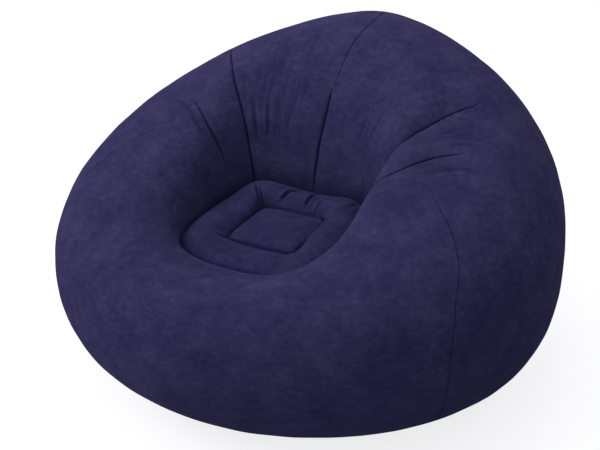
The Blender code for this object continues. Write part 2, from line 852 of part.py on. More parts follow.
def make_check_flap(valve):
    """The soft disc behind the inflation port, which the air inside holds shut."""
    top = -PORT_DEPTH - GAP
    radius = PORT_RADIUS + PORT_WALL / 2 + FLAP_MARGIN
    bm = bmesh.new()
    turned(
        bm, ((0, top - FLAP_THICKNESS), (radius, top - FLAP_THICKNESS), (radius, top), (0, top))
    )
    flap = new_object("check_flap", bm, SMOKE_PLASTIC, 0.5, valve)
    ear = helper_block(
        "flap_ear_shape",
        (-FLAP_HINGE_WIDTH / 2, PORT_RADIUS, top - FLAP_THICKNESS),
        (FLAP_HINGE_WIDTH / 2, FLAP_HINGE_OFFSET, top),
        valve,
    )
    fuse(flap, [ear])
    return flap


def make_valve_cap(valve):
    """The cap that closes the inflation port, on a thin film hinge above it."""
    bottom = rim_top() + GAP
    top = bottom + CAP_THICKNESS
    boss = PORT_RADIUS - GAP
    profile = (
        (0, bottom - CAP_BOSS_LENGTH),
        (boss - CAP_BOSS_TAPER, bottom - CAP_BOSS_LENGTH),
        (boss, bottom - CAP_BOSS_TAPER),
        (boss, bottom),
        (CAP_RADIUS, bottom),
        (CAP_RADIUS, top - CAP_BEVEL),
        (CAP_RADIUS - CAP_BEVEL, top),
        (0, top),
    )
    bm = bmesh.new()
    turned(bm, profile)
    cap = new_object("valve_cap", bm, WHITE_VINYL, 0.3, valve)
    film = helper_block(
        "cap_film_shape",
        (-FILM_WIDTH / 2, PORT_RADIUS, bottom),
        (FILM_WIDTH / 2, CAP_HINGE_OFFSET - FILM_END_GAP, bottom + FILM_THICKNESS),
        valve,
    )
    grip = helper_block(
        "cap_grip_shape",
        (-CAP_GRIP_WIDTH / 2, -CAP_RADIUS - CAP_GRIP_LENGTH, bottom),
        (CAP_GRIP_WIDTH / 2, -PORT_RADIUS, top - CAP_BEVEL),
        valve,
    )
    fuse(cap, [film, grip])
    return cap


def make_plug_strap(valve):
    """The strap that keeps the plug with the chair: a ring on the collar and a loop to the rim."""
    bottom = GAP
    inner = collar_radius() + GAP
    outer = inner + STRAP_RING_WIDTH
    bm = bmesh.new()
    turned(
        bm,
        (
            (inner, bottom),
            (outer, bottom),
            (outer, bottom + STRAP_THICKNESS),
            (inner, bottom + STRAP_THICKNESS),
        ),
    )
    strap = new_object("plug_strap", bm, WHITE_VINYL, 0.4, valve)
    loop = strap_loop(bottom, outer - STRAP_RING_WIDTH / 2, valve)
    fuse(strap, [loop])
    return strap


def strap_loop(bottom, start, valve):
    """A strip that runs down from the ring, turns over and comes back to the plug's rim."""
    low = bottom + STRAP_THICKNESS / 2
    high = rim_base() + STRAP_THICKNESS / 2
    radius = (high - low) / 2
    turn_steps = 8
    path = [(-start, low)]
    for i in range(turn_steps + 1):
        angle = -math.pi / 2 - math.pi * i / turn_steps
        path.append(
            (
                -STRAP_REACH + radius + radius * math.cos(angle),
                low + radius + radius * math.sin(angle),
            )
        )
    path.append((-PLUG_RIM_RADIUS - GAP, high))
    bm = bmesh.new()
    half = STRAP_THICKNESS / 2
    rows = []
    for i, (y, z) in enumerate(path):
        before, after = path[max(i - 1, 0)], path[min(i + 1, len(path) - 1)]
        along = Vector((after[0] - before[0], after[1] - before[1])).normalized()
        left = Vector((-along.y, along.x)) * half
        corners = []
        for x, sign in ((-1, 1), (1, 1), (1, -1), (-1, -1)):
            corners.append(
                bm.verts.new(
                    (x * STRAP_WIDTH / 2, y + sign * left.x, z + sign * left.y)
                )
            )
        rows.append(corners)
    grid_faces(bm, rows, closed=True)
    bm.faces.new(rows[0])
    bm.faces.new(reversed(rows[-1]))
    return new_object("strap_loop_shape", bm, WHITE_VINYL, 0.4, valve)


def make_valve():
    valve = bpy.data.objects.new("valve", None)
    bpy.context.scene.collection.objects.link(valve)
    valve.matrix_world = valve_matrix()
    make_valve_flange(valve)
    make_valve_plug(valve)
    make_check_flap(valve)
    make_valve_cap(valve)
    make_plug_strap(valve)


def main():
    clear_scene()
    make_panel("front_panel", front_turns)
    make_panel("rear_right_panel", right_turns)
    make_panel("rear_left_panel", left_turns, with_valve=True)
    make_seat_sheet()
    make_base_sheet()
    make_tie_bands()
    make_valve()


main()
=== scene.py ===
"""The finish of an inflatable lounge chair: its flocked skin, its welds and its valve.

Lengths are in metres. A turn goes round the chair from its front, and a section goes from the
base, 0, over the bulge, 1, and the crest, 2, down into the well to the seat, 3.
"""

import math

import bmesh
import bpy
import numpy as np
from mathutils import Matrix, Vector


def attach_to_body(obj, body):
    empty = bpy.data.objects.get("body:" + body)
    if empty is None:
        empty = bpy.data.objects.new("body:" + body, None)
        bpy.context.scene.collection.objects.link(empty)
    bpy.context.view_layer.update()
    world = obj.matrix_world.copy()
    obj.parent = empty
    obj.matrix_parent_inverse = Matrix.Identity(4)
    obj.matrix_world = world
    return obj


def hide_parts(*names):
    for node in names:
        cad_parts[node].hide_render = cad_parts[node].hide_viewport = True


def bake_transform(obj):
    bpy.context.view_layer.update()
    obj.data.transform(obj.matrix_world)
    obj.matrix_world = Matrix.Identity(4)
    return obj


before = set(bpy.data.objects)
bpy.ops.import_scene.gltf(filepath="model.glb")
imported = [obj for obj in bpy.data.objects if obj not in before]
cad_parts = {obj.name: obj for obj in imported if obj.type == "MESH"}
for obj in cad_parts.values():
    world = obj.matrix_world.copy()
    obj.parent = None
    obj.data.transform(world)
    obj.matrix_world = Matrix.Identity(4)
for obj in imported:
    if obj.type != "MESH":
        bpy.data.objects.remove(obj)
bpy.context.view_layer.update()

# The air chamber, as the construction has it. Three values: at the front, side and back
WIDTH = 1.070
DEPTH = 1.040
BACK_HEIGHT = 0.674
ARM_HEIGHT = 0.484
FRONT_HEIGHT = 0.328
BASE_WIDTH = 0.750
BASE_DEPTH = 0.710
BASE_REARWARD = 0.096
CREST_WIDTH = 0.574
CREST_DEPTH = 0.756
CREST_FORWARD = 0.063
BULGE_HEIGHTS = (0.202, 0.245, 0.271)
CREST_UNEVENNESS = 0.004
SEAT_WIDTH = 0.352
SEAT_FORWARD = 0.127
SEAT_HEIGHT = 0.309
ROLL_RISES = (0.010, 0.031, 0.039)
ROLL_FULLNESS = (1.7, 0.42, 0.40)
ROLL_CORNER_RISE = 0.5
PAD_WIDTH = 0.155
PAD_DEPTH = 0.150
PAD_EDGE_HEIGHT = 0.320
PAD_TILT = 0.085
PAD_CROWN = 0.012
PAD_FLATNESS = (4, 0.6)
SHEET = 0.0007
GAP = 0.0003
FIN = 0.008
OUTER_FULLNESS = (0.92, 0.74, 0.96)
INNER_FULLNESS = {-1: (1.05, 0.95, 0.91), 1: (1.05, 0.68, 0.91)}
SEAT_SQUARENESS = 3
PAD_SQUARENESS = 9

# The share of its unevenness by which the crest lies off its even climb, at turns in degrees
CREST_SHARES = ((0, 0), (60, 0), (100, 0.65), (130, 0), (152, -1), (166, -0.7), (175, 0.1),
                (180, 0.3))

# The turn of each seam in degrees at places along its section, on the left, -1, and the right, 1
PANEL_SEAMS = {
    -1: ((0, 56), (1, 56), (1.3, 58.8), (1.6, 67.2), (1.8, 75.8), (2, 87), (2.29, 91.8),
         (2.44, 94.3), (2.52, 96.2), (3, 100)),
    1: ((0, 56), (1, 56), (1.3, 58.8), (1.6, 67), (1.8, 74), (1.9, 78.5), (2, 85), (2.1, 86.2),
        (2.3, 85.5), (2.6, 89), (3, 99)),
}
BACK_SEAM = ((0, 180), (1, 180), (1.6, 179.4), (1.9, 178.2), (2, 177.4), (2.06, 176.6),
             (2.12, 176.4), (2.2, 177.1), (2.3, 178.2), (2.4, 178.7), (2.5, 179.3), (2.58, 181),
             (2.66, 181.5), (2.72, 182.2), (2.8, 183.7), (2.9, 184.8), (3, 186))
SHORT_DARTS = {
    -1: ((0, 90), (1, 90), (1.6, 94), (1.9, 98.6), (2, 99.6), (2.1, 99.8), (2.2, 100.3),
         (2.3, 101.5), (2.4, 103.1), (2.5, 105.5), (2.6, 108.8), (2.7, 112.6), (2.8, 115.8),
         (2.9, 118.5), (3, 121)),
    1: ((0, 86), (1, 86), (1.5, 93), (1.8, 98.6), (1.85, 98.6), (1.9, 97.3), (1.96, 95.7),
        (1.98, 95.2), (1.995, 94.5), (2.005, 93.7), (2.04, 93), (2.1, 92), (2.2, 91.2),
        (2.3, 91.4), (2.6, 96), (3, 113)),
}
LONG_DARTS = {
    -1: ((0, 124), (1, 124), (1.85, 123), (1.9, 121.6), (1.93, 120.7), (1.96, 119.6),
         (1.99, 118.3), (2.01, 117.6), (2.05, 117.6), (2.1, 117.9), (2.2, 119), (2.3, 120.5),
         (2.4, 122.6), (2.5, 125.2), (2.6, 127.9), (2.7, 130.6), (2.8, 132.8), (2.9, 134.9),
         (3, 137)),
    1: ((0, 120), (1, 120), (1.85, 117.8), (1.9, 115.5), (1.94, 114.1), (1.97, 113.1),
        (1.985, 112.4), (1.995, 111.7), (2.005, 110.2), (2.015, 109.9), (2.04, 109.4),
        (2.1, 108.9), (2.2, 109.4), (2.4, 114), (2.7, 124), (3, 135)),
}

# How far each seam draws the skin in along its section, in a wide valley and in a narrow fold
LONG_DEPTHS = {
    -1: ((0, 0), (1.84, 0), (1.94, 0.001), (2.1, 0.0025), (2.4, 0.0045), (2.7, 0.006),
         (3, 0.004)),
    1: ((0, 0), (1.8, 0), (1.9, 0.001), (2, 0.009), (2.12, 0.020), (2.3, 0.025), (2.6, 0.017),
        (3, 0.007)),
}
SHORT_DEPTH = ((0, 0), (1.86, 0), (1.95, 0.0005), (2.05, 0.0025), (2.2, 0.004), (2.5, 0.0045),
               (3, 0.003))
BACK_DEPTH = ((0, 0), (1.75, 0), (1.9, 0.0005), (2.05, 0.002), (2.3, 0.0035), (2.5, 0.003),
              (2.62, 0.0055), (2.8, 0.007), (3, 0.004))
WELD_FOLD = ((0, 0), (0.2, 0.0012), (0.6, 0.0018), (1.3, 0.0022), (1.88, 0.0022), (1.98, 0.0010),
             (2.06, 0.0005), (2.5, 0.0004), (3, 0.0004))
LONG_FOLD = ((0, 0), (1.82, 0), (1.9, 0.003), (1.97, 0.006), (2.2, 0.008), (2.6, 0.008),
             (3, 0.004))
SHORT_FOLDS = {
    -1: ((0, 0), (1.93, 0), (2.02, 0.0018), (2.14, 0.004), (2.3, 0.007), (2.68, 0.007),
         (2.82, 0.003), (3, 0.0015)),
    1: ((0, 0), (1.88, 0), (1.94, 0.0032), (2, 0.006), (2.25, 0.006), (2.5, 0.0045), (3, 0.002)),
}
BACK_FOLD = ((0, 0), (1.75, 0), (1.95, 0.0026), (2.3, 0.0034), (2.45, 0.0022), (2.55, 0.0012),
             (2.59, 0.007), (2.8, 0.0085), (3, 0.004))

# How wide the valleys are, ahead of their seam and behind it, and how blunt they are
LONG_SHOULDERS = {-1: (0.030, 0.024), 1: (0.060, 0.024)}
SHORT_SHOULDERS = (0.024, 0.020)
BACK_SHOULDERS = (0.040, 0.040)
VALLEY_POWER = 1.4

# The section at which the seams' valleys and folds begin to fade out, and how long they take
SEAMS_END = 2.93
SEAMS_FADE = 0.07

# How far from a weld the nap lies flat, how far painted shade reaches from the seat's rim weld and
# from its pad weld, how many sections above the seat painted shade reaches on the wall, the depth
# at which a crease gets painted shade as dark as a weld, and the share of that dark look painted
# all over the seat as shade
PRESSED = 0.0024
RIM_PAINTED_SHADE = 0.011
PAD_PAINTED_SHADE = 0.006
WALL_PAINTED_SHADE = 0.07
CREASE_SHADE = 0.006
SEAT_PAINTED_SHADE = 0.3

# How flat the nap lies beside each seam along its section
LONG_PRESSED = {
    -1: ((0, 0), (1.82, 0), (1.88, 0.5), (1.97, 0.8), (2.2, 0.9), (3, 0.9)),
    1: ((0, 0), (1.9, 0), (1.95, 0.5), (1.99, 0.8), (2.1, 0.9), (3, 0.9)),
}
SHORT_PRESSED = {
    -1: ((0, 0), (2.0, 0), (2.08, 0.3), (2.2, 0.8), (2.6, 0.8), (2.74, 0.3), (2.85, 0), (3, 0)),
    1: ((0, 0), (1.91, 0), (1.96, 0.6), (2, 0.8), (2.12, 0.8), (2.3, 0.4), (3, 0.2)),
}
BACK_PRESSED = ((0, 0.2), (1.9, 0.2), (2.06, 0.34), (2.35, 0.34), (2.46, 0.1), (2.56, 0.1),
                (2.59, 0.9), (3, 0.9))
PANEL_PRESSED = ((0, 0.15), (1.1, 0.18), (1.5, 0.34), (1.75, 0.34), (1.88, 0.2), (1.97, 0.04),
                 (2.05, 0), (3, 0))

# Creases in the skin: how deep, how wide, and the section and the turn in degrees of their points
SKIN_FOLDS = (
    (0.0036, 0.0042, ((2.49, -132), (2.57, -133.4), (2.635, -134.5), (2.69, -135.7),
                      (2.77, -137.3))),
    (0.0011, 0.0042, ((2.15, -124.3), (2.33, -125.7), (2.52, -128))),
    (0.0036, 0.0042, ((2.52, -140.7), (2.6, -141.5), (2.65, -141.9), (2.7, -142.9),
                      (2.75, -142.8))),
    (0.0012, 0.0042, ((2.4, -137.8), (2.465, -138.2), (2.54, -138.6))),
    (0.0018, 0.0048, ((2.56, -147.6), (2.62, -148.3), (2.69, -149))),
    (0.0022, 0.0050, ((2.55, -157.6), (2.6, -157.2), (2.65, -156.2), (2.72, -153.7))),
    (0.0015, 0.0045, ((2.5, -163.2), (2.6, -162.3))),
    (0.0015, 0.0045, ((2.32, -133.8), (2.45, -135))),
    (0.0014, 0.0050, ((2.39, -149.2), (2.48, -149.7))),
    (0.0012, 0.0050, ((2.34, -145.6), (2.46, -146.3))),
    (0.0017, 0.0042, ((2.6, 152.1), (2.645, 151.7), (2.69, 153), (2.73, 154))),
    (0.0022, 0.0042, ((2.56, 141.2), (2.6, 141.4), (2.665, 144), (2.71, 145.2))),
    (0.0016, 0.0038, ((2.62, 147.6), (2.66, 147.9), (2.7, 149.2))),
    (0.0014, 0.0048, ((2.5, 125), (2.55, 125), (2.62, 126.8), (2.68, 129.2))),
    (0.0012, 0.0045, ((2.59, 158.8), (2.63, 158.9), (2.68, 159.8))),
    (0.0012, 0.0050, ((2.62, 136), (2.7, 138.5))),
    (0.0030, 0.0045, ((1.96, -97.9), (1.985, -97), (2.065, -96.5), (2.18, -96.5), (2.295, -97.2),
                      (2.395, -98.5), (2.48, -101.4), (2.58, -105))),
    (0.0016, 0.0052, ((2.22, -103), (2.32, -104), (2.41, -106.5), (2.505, -110.2), (2.6, -114))),
    (0.0012, 0.0060, ((2.48, -87.5), (2.6, -88.5), (2.73, -90))),
    (0.0028, 0.0055, ((2, 88.4), (1.98, 89), (1.95, 90.4), (1.905, 91.2), (1.845, 91.2),
                      (1.8, 90.6))),
    (0.0024, 0.0045, ((2, 103), (1.99, 103.8), (1.965, 105.2), (1.94, 105.9))),
    (0.0022, 0.0050, ((1.975, 101.8), (1.95, 102), (1.915, 102.2), (1.87, 101.4))),
    (0.0018, 0.0045, ((1.975, 99.1), (1.95, 99.5), (1.925, 99.8), (1.895, 99.8))),
    (0.0020, 0.0050, ((1.975, 109.8), (1.94, 109.2), (1.9, 108.4))),
    (0.0018, 0.0050, ((1.895, 103.2), (1.86, 102.5), (1.82, 101.5))),
    (0.0014, 0.0060, ((1.68, 95), (1.61, 91.5), (1.53, 90))),
    (0.0018, 0.0036, ((2.535, 176), (2.53, 178.5), (2.535, 181.5))),
    (0.0016, 0.0034, ((2.558, 176.8), (2.553, 178.8), (2.558, 181))),
)

# Creases in the roll of the seat: how deep, how wide, and their points in plan, where the roll's
# skin is laid out as laid_out says
ROLL_FOLDS = (
    (0.0044, 0.0028, ((-0.1110, -0.0330), (-0.1041, -0.0407), (-0.0922, -0.0539),
                      (-0.0800, -0.0630))),
    (0.0040, 0.0026, ((-0.0980, -0.0370), (-0.0917, -0.0431), (-0.0839, -0.0510),
                      (-0.0716, -0.0574))),
    (0.0062, 0.0034, ((-0.0460, -0.0420), (-0.0410, -0.0340), (-0.0384, -0.0268),
                      (-0.0353, -0.0154), (-0.0264, -0.0062), (-0.0150, 0.0060))),
    (0.0062, 0.0034, ((0.0216, -0.0400), (0.0204, -0.0320), (0.0194, -0.0264), (0.0185, -0.0111),
                      (0.0230, -0.0010), (0.0300, 0.0080))),
    (0.0030, 0.0030, ((0.0480, -0.0480), (0.0520, -0.0388), (0.0524, -0.0273),
                      (0.0548, -0.0180))),
    (0.0016, 0.0034, ((0.0340, -0.0450), (0.0370, -0.0300), (0.0350, -0.0140))),
    (0.0034, 0.0030, ((0.0660, -0.0620), (0.0850, -0.0740), (0.1039, -0.0832))),
    (0.0034, 0.0030, ((-0.0650, -0.1950), (-0.0722, -0.1977), (-0.0819, -0.2043),
                      (-0.0925, -0.2105))),
    (0.0014, 0.0036, ((-0.0639, -0.0228), (-0.0511, -0.0192), (-0.0425, -0.0097))),
    (0.0022, 0.0032, ((0.1150, -0.0480), (0.1172, -0.0313), (0.1208, -0.0220))),
    (0.0016, 0.0040, ((0.0941, -0.0115), (0.1034, -0.0087), (0.1080, -0.0013))),
    (0.0012, 0.0040, ((-0.0960, -0.0873), (-0.1082, -0.0847), (-0.1173, -0.0852))),
    (0.0012, 0.0040, ((-0.0974, -0.1301), (-0.1122, -0.1321))),
)

# The low ridges beside a crease, as a share of its depth and its widths away from it, how quickly
# its ends thin out, how many widths it reaches and how finely its path is cut up
RIDGE_SHARE = 0.3
RIDGE_AWAY = 2.2
TAPER_POWER = 0.8
CREASE_REACH = 5
PATH_STEPS = 6

# Fine ripples of the backrest: where they begin and end, each with the length of its fade, in
# degrees on the left and on the right and in sections, their height, length and seed, their metres
# per degree and per section, and how strong they are on the right
LEFT_RIPPLES = (-172, 12, -128, 8)
RIGHT_RIPPLES = (128, 10, 174, 12)
RIPPLE_SECTIONS = (2.05, 0.2, 2.92, 0.15)
RIPPLE_HEIGHT, RIPPLE_LENGTH, RIPPLE_SEED = 0.00035, 0.016, 3
RIPPLE_SCALE = (0.0045, 0.035)
RIGHT_SHARE = 0.6

# The uneven pull of the sheet: the height, the length and the seed of its swells on the wall, the
# sections over which they rise from the base and those where they fade out, and the swell of the
# seat's roll with the length of its fade from the rim
WAVE_COUNT = 14
WALL_SWELLS = ((0.0003, 0.16, 1), (0.0002, 0.055, 2))
SWELL_RISE = 0.3
SWELL_END, SWELL_FADE = 2.85, 0.15
ROLL_SWELL = (0.0006, 0.06, 4)
ROLL_SWELL_FADE = 0.02
ROLL_FOLD_FADE = 0.006

# The meshes: how far apart the wall's rows are along the section, measured at one turn in degrees,
# how many columns lie between the seams, how far the columns beside a seam are from it in radians,
# and how many rings and columns the seat, the base and the membranes have
ROW_SPACING = ((0, 0.009), (1, 0.008), (1.6, 0.006), (1.9, 0.0042), (3, 0.0042))
ROW_TURN = 115
FRONT_COLUMNS = 190
REAR_COLUMNS = (36, 34, 100)
NEAR_SEAM = np.radians([0, 0.08, 0.18, 0.32, 0.5, 0.75, 1.05, 1.45, 2])
PAD_RINGS = 36
ROLL_RINGS = 60
SEAT_COLUMNS = 440
CLUSTERING = 1.3
BASE_RINGS = 20
BASE_HEART = 0.05
RING_COLUMNS = 180
TIE_ROWS = 13

# The valve's place on the wall, with its level axis, its upright one and the one out of the chair
VALVE_PLACE = (-0.18668, 0.48519, 0.26781)
VALVE_AXES = ((-0.93986, -0.34155, 0), (0, 0, 1), (-0.34155, 0.93986, 0))
VALVE_HOLE = 0.0231
VALVE_LAND = 0.0408
LAND_OUTER = 0.086
HOLE_RING, LAND_RING, OUTER_RING = 5, 9, 18

# The strap from the valve's collar to its plug, in the valve's own axes
STRAP_INNER = 0.0223
STRAP_OUTER = 0.0263
STRAP_LOW = 0.0003
STRAP_HIGH = 0.0053
STRAP_THICKNESS = 0.0010
STRAP_WIDTH = 0.008
STRAP_REACH = 0.046
STRAP_STRAIGHT = 0.006
STRAP_BLUNTNESS = 0.35
STRAP_ROWS = 96
BEND_ROWS = 21
RING_POINTS = 20
STRIP_POINTS = 24
SHARP_ANGLE = 50
PLUG_RIM = 0.0253

# The membranes inside that hold the seat down, how far they hang straight from their welds, and
# their vents: the rows of each, and its columns within each pitch
TIE_FOOT_WIDTH = 0.320
TIE_FOOT_FORWARD = 0.060
TIE_DROP = 0.02
PAD_TIE_CLEARANCE = 0.0006
VENT_ROWS = (5, 6, 7, 8)
VENT_COLUMNS = (6, 7, 8)
VENT_PITCH = 15

# The camera's place in the photograph, which is 600 x 450 pixels
IMAGE_WIDTH = 600
IMAGE_HEIGHT = 450
CAMERA_AZIMUTH = 29.03
CAMERA_ELEVATION = 24.06
CAMERA_DISTANCE = 2.196
CAMERA_TARGET = (0, 0, 0.30)
FOCAL_PIXELS = 1035.8
CENTRE_PIXEL = (307.8, 217.3)
SENSOR_WIDTH = 36

# Round lamps far from the chair: azimuth from the camera towards its left, elevation, size, watts
LAMP_DISTANCE = 3
LAMPS = {"key": (75, 35, 1.6, 31), "rear": (-115, 30, 1.6, 8), "low": (30, 6, 1.6, 5)}

# The lamp above the chair: its place, size and watts
LAMP_ABOVE = ((0.1, 0, 1.7), 1.2, 4.2)

# The light of the world from the camera's right and left, and the floor's half width and whiteness
WORLD_LIGHT = (0.26, 0.84)
FLOOR_REACH = 8
FLOOR_GLOW = 0.8

# The smooth materials: their colour, roughness, and the scale and strength of their grain
BASE_VINYL = ((0.028, 0.027, 0.070), 0.55, 900, 0.2)
INNER_VINYL = ((0.20, 0.20, 0.22), 0.45, 500, 0.1)
VALVE_VINYL = ((0.62, 0.63, 0.62), 0.35, 260, 0.08)
FLAP_RUBBER = ((0.10, 0.10, 0.13), 0.5, 300, 0.1)


def smooth_step(share):
    share = np.clip(share, 0, 1)
    return share * share * (3 - 2 * share)


def within(place, start, start_fade, end, end_fade):
    """1 between two places, with a smooth fade inside each."""
    return smooth_step((place - start) / start_fade) * smooth_step((end - place) / end_fade)


def gentle_slopes(places, values):
    """Slopes for a curve that never overshoots its values."""
    widths = np.diff(places)
    rises = np.diff(values) / widths
    before, after = rises[:-1], rises[1:]
    first, second = 2 * widths[1:] + widths[:-1], widths[1:] + 2 * widths[:-1]
    same = before * after > 0
    inner = np.zeros(len(before))
    inner[same] = (first + second)[same] / (
        first[same] / before[same] + second[same] / after[same]
    )
    return np.concatenate([rises[:1], inner, rises[-1:]])


def through(pairs, place):
    """A smooth curve through pairs of a place and a value."""
    places, values = np.array(pairs, dtype=float).T
    slopes = gentle_slopes(places, values)
    start = np.clip(np.searchsorted(places, place, side="right") - 1, 0, len(places) - 2)
    width = places[start + 1] - places[start]
    share = np.clip((place - places[start]) / width, 0, 1)
    rest = 1 - share
    return (
        values[start] * (1 + 2 * share) * rest**2
        + values[start + 1] * (1 + 2 * rest) * share**2
        + slopes[start] * width * share * rest**2
        - slopes[start + 1] * width * rest * share**2
    )


def round_about(front, side, back, turn):
    """A value that changes smoothly from the front by the side to the back."""
    forward = np.cos(turn)
    end = np.where(forward > 0, front, back)
    return side + (end - side) * forward**2


def ring_point(width, depth, rearward, height, turn):
    x = width / 2 * np.sin(turn)
    y = rearward - depth / 2 * np.cos(turn)
    return np.stack([x, y, height + 0 * turn], -1)


def square_point(width, depth, squareness, height, turn, forward=SEAT_FORWARD):
    """A point of an outline with round corners."""
    across, along = np.sin(turn), np.cos(turn)
    reach = (abs(across) ** squareness + abs(along) ** squareness) ** (-1 / squareness)
    x = width / 2 * reach * across
    y = -forward - depth / 2 * reach * along
    return np.stack([x, y, height + 0 * turn], -1)


def smooth_skin(turn, section):
    """The blown-up shape of the chamber, before its seams draw it in."""
    turn, section = np.broadcast_arrays(turn, section)
    base = ring_point(BASE_WIDTH, BASE_DEPTH, BASE_REARWARD, SHEET + GAP, turn)
    bulge = ring_point(WIDTH, DEPTH, 0, round_about(*BULGE_HEIGHTS, turn), turn)
    climb_power = math.log((ARM_HEIGHT - FRONT_HEIGHT) / (BACK_HEIGHT - FRONT_HEIGHT), 0.5)
    climb = ((1 - np.cos(turn)) / 2) ** climb_power
    height = FRONT_HEIGHT + (BACK_HEIGHT - FRONT_HEIGHT) * climb
    height += CREST_UNEVENNESS * through(CREST_SHARES, abs(np.degrees(wrapped(turn))))
    crest = ring_point(CREST_WIDTH, CREST_DEPTH, -CREST_FORWARD, height, turn)
    seat = square_point(SEAT_WIDTH, SEAT_WIDTH, SEAT_SQUARENESS, SEAT_HEIGHT, turn)
    part = np.clip(np.floor(section), 0, 2)
    angle = (section - part) * math.pi / 2
    rise, fall = np.sin(angle), np.clip(np.cos(angle), 0, 1)
    outer = round_about(*OUTER_FULLNESS, turn)
    left, right = (round_about(*INNER_FULLNESS[side], turn) for side in (-1, 1))
    inner = np.where(np.sin(turn) < 0, left, right)
    level = np.select([part == 0, part == 1], [rise, fall**outer], 1 - rise**inner)
    upright = np.select([part == 0, part == 1], [1 - fall, 1 - rise**outer], fall**inner)
    part = part[..., None]
    start = np.select([part == 0, part == 1], [base, crest], seat)
    end = np.select([part == 0, part == 1], [bulge, bulge], crest)
    return start + (end - start) * np.stack([level, level, upright], -1)


def normalized(vectors):
    return vectors / np.linalg.norm(vectors, axis=-1, keepdims=True)


def along_turn(turn, section):
    """How the skin runs round the chair, in metres per radian."""
    step = 0.002
    return (smooth_skin(turn + step, section) - smooth_skin(turn - step, section)) / (2 * step)


def skin_normal(turn, section):
    """The direction away from the air inside."""
    step = 0.002
    low, high = np.clip(section - step, 0, 3), np.clip(section + step, 0, 3)
    up = smooth_skin(turn, high) - smooth_skin(turn, low)
    return normalized(np.cross(along_turn(turn, section), up))


def wrapped(turn):
    return (turn + math.pi) % (2 * math.pi) - math.pi


def valley(away, ahead_width, behind_width):
    """A wide valley with a shoulder of its own width on each side."""
    width = np.where(away < 0, ahead_width, behind_width)
    return np.exp(-((abs(away) / width) ** VALLEY_POWER))


def fold_in(away, radius):
    """Where two blown-up sheets bend down into their weld, on an arc of a radius that may be 0."""
    share = np.clip(1 - abs(away) / np.maximum(radius, 1e-6), 0, 1)
    return radius * (1 - np.sqrt(1 - share**2))


def seams(turn, section):
    """How far a place is from each seam, the radius of its fold and how flat its nap lies."""
    turn = wrapped(turn)
    side = np.where(turn < 0, -1, 1)
    scale = np.linalg.norm(along_turn(turn, section), axis=-1)

    def of_side(tables):
        return np.where(side < 0, through(tables[-1], section), through(tables[1], section))

    def away(tables):
        return wrapped(turn - side * np.radians(of_side(tables))) * side * scale

    long, short, panel = away(LONG_DARTS), away(SHORT_DARTS), away(PANEL_SEAMS)
    back = wrapped(turn - np.radians(through(BACK_SEAM, section))) * scale
    return {
        "long": (long, through(LONG_FOLD, section), of_side(LONG_PRESSED)),
        "short": (short, of_side(SHORT_FOLDS), of_side(SHORT_PRESSED)),
        "back": (back, through(BACK_FOLD, section), through(BACK_PRESSED, section)),
        "back weld": (back, through(WELD_FOLD, section), 0),
        "panel": (panel, through(WELD_FOLD, section), through(PANEL_PRESSED, section)),
    }


def groove(turn, section):
    """How far the seams draw the skin in at a place."""
    near = seams(turn, section)
    left, right = (
        through(LONG_DEPTHS[side], section) * valley(near["long"][0], *LONG_SHOULDERS[side])
        for side in (-1, 1)
    )
    depth = np.where(np.sin(turn) < 0, left, right)
    depth += through(SHORT_DEPTH, section) * valley(near["short"][0], *SHORT_SHOULDERS)
    depth += through(BACK_DEPTH, section) * valley(near["back"][0], *BACK_SHOULDERS)
    depth += np.max([fold_in(away, radius) for away, radius, _ in near.values()], axis=0)
    return depth * (1 - smooth_step((section - SEAMS_END) / SEAMS_FADE))


def waves(places, wavelength, seed):
    """A smooth uneven field of about unit size, whose swells are about a wavelength apart."""
    draw = np.random.default_rng(seed)
    ways = normalized(draw.normal(size=(WAVE_COUNT, places.shape[-1])))
    lengths = wavelength * draw.uniform(0.7, 1.5, WAVE_COUNT)
    phases = draw.uniform(0, 2 * math.pi, WAVE_COUNT)
    field = np.zeros(places.shape[:-1])
    for way, length, phase in zip(ways, lengths, phases):
        field += np.sin(places @ way * (2 * math.pi / length) + phase)
    return field / math.sqrt(WAVE_COUNT / 2)


def fold_depth(places, folds):
    """How far the creases push their places in. Each has low ridges beside it and thin ends."""
    flat = places.reshape(-1, places.shape[-1])
    depth = np.zeros(len(flat))
    for deep, wide, path in folds:
        reach = CREASE_REACH * wide
        near = np.all((flat > path.min(0) - reach) & (flat < path.max(0) + reach), axis=1)
        close = flat[near]
        best = np.full(len(close), 1e9)
        along = np.zeros(len(close))
        for i in range(len(path) - 1):
            step = path[i + 1] - path[i]
            share = np.clip((close - path[i]) @ step / (step @ step), 0, 1)
            away = np.linalg.norm(close - path[i] - share[:, None] * step, axis=1)
            nearer = away < best
            best = np.where(nearer, away, best)
            along = np.where(nearer, (i + share) / (len(path) - 1), along)
        taper = np.sin(math.pi * np.clip(along, 0.02, 0.98)) ** TAPER_POWER
        ridge = RIDGE_SHARE * np.exp(-((best / wide - RIDGE_AWAY) ** 2))
        depth[near] += deep * taper * (np.exp(-((best / wide) ** 2)) - ridge)
    return depth.reshape(places.shape[:-1])


def skin_path(points):
    """The places of a crease on the skin, close enough together to look curved."""
    share = np.linspace(0, 1, len(points))
    fine = np.linspace(0, 1, PATH_STEPS * len(points))
    section = through(np.stack([share, [p[0] for p in points]], 1), fine)
    turn = through(np.stack([share, [p[1] for p in points]], 1), fine)
    return smooth_skin(np.radians(turn), section)


def ripples(turn, section):
    """Fine upright ripples in the skin of the backrest, beside the long darts."""
    degrees = np.degrees(wrapped(turn))
    strength = within(degrees, *LEFT_RIPPLES) + RIGHT_SHARE * within(degrees, *RIGHT_RIPPLES)
    places = np.stack([degrees * RIPPLE_SCALE[0], section * RIPPLE_SCALE[1]], -1)
    uneven = waves(places, RIPPLE_LENGTH, RIPPLE_SEED)
    return RIPPLE_HEIGHT * (strength * within(section, *RIPPLE_SECTIONS) * uneven)


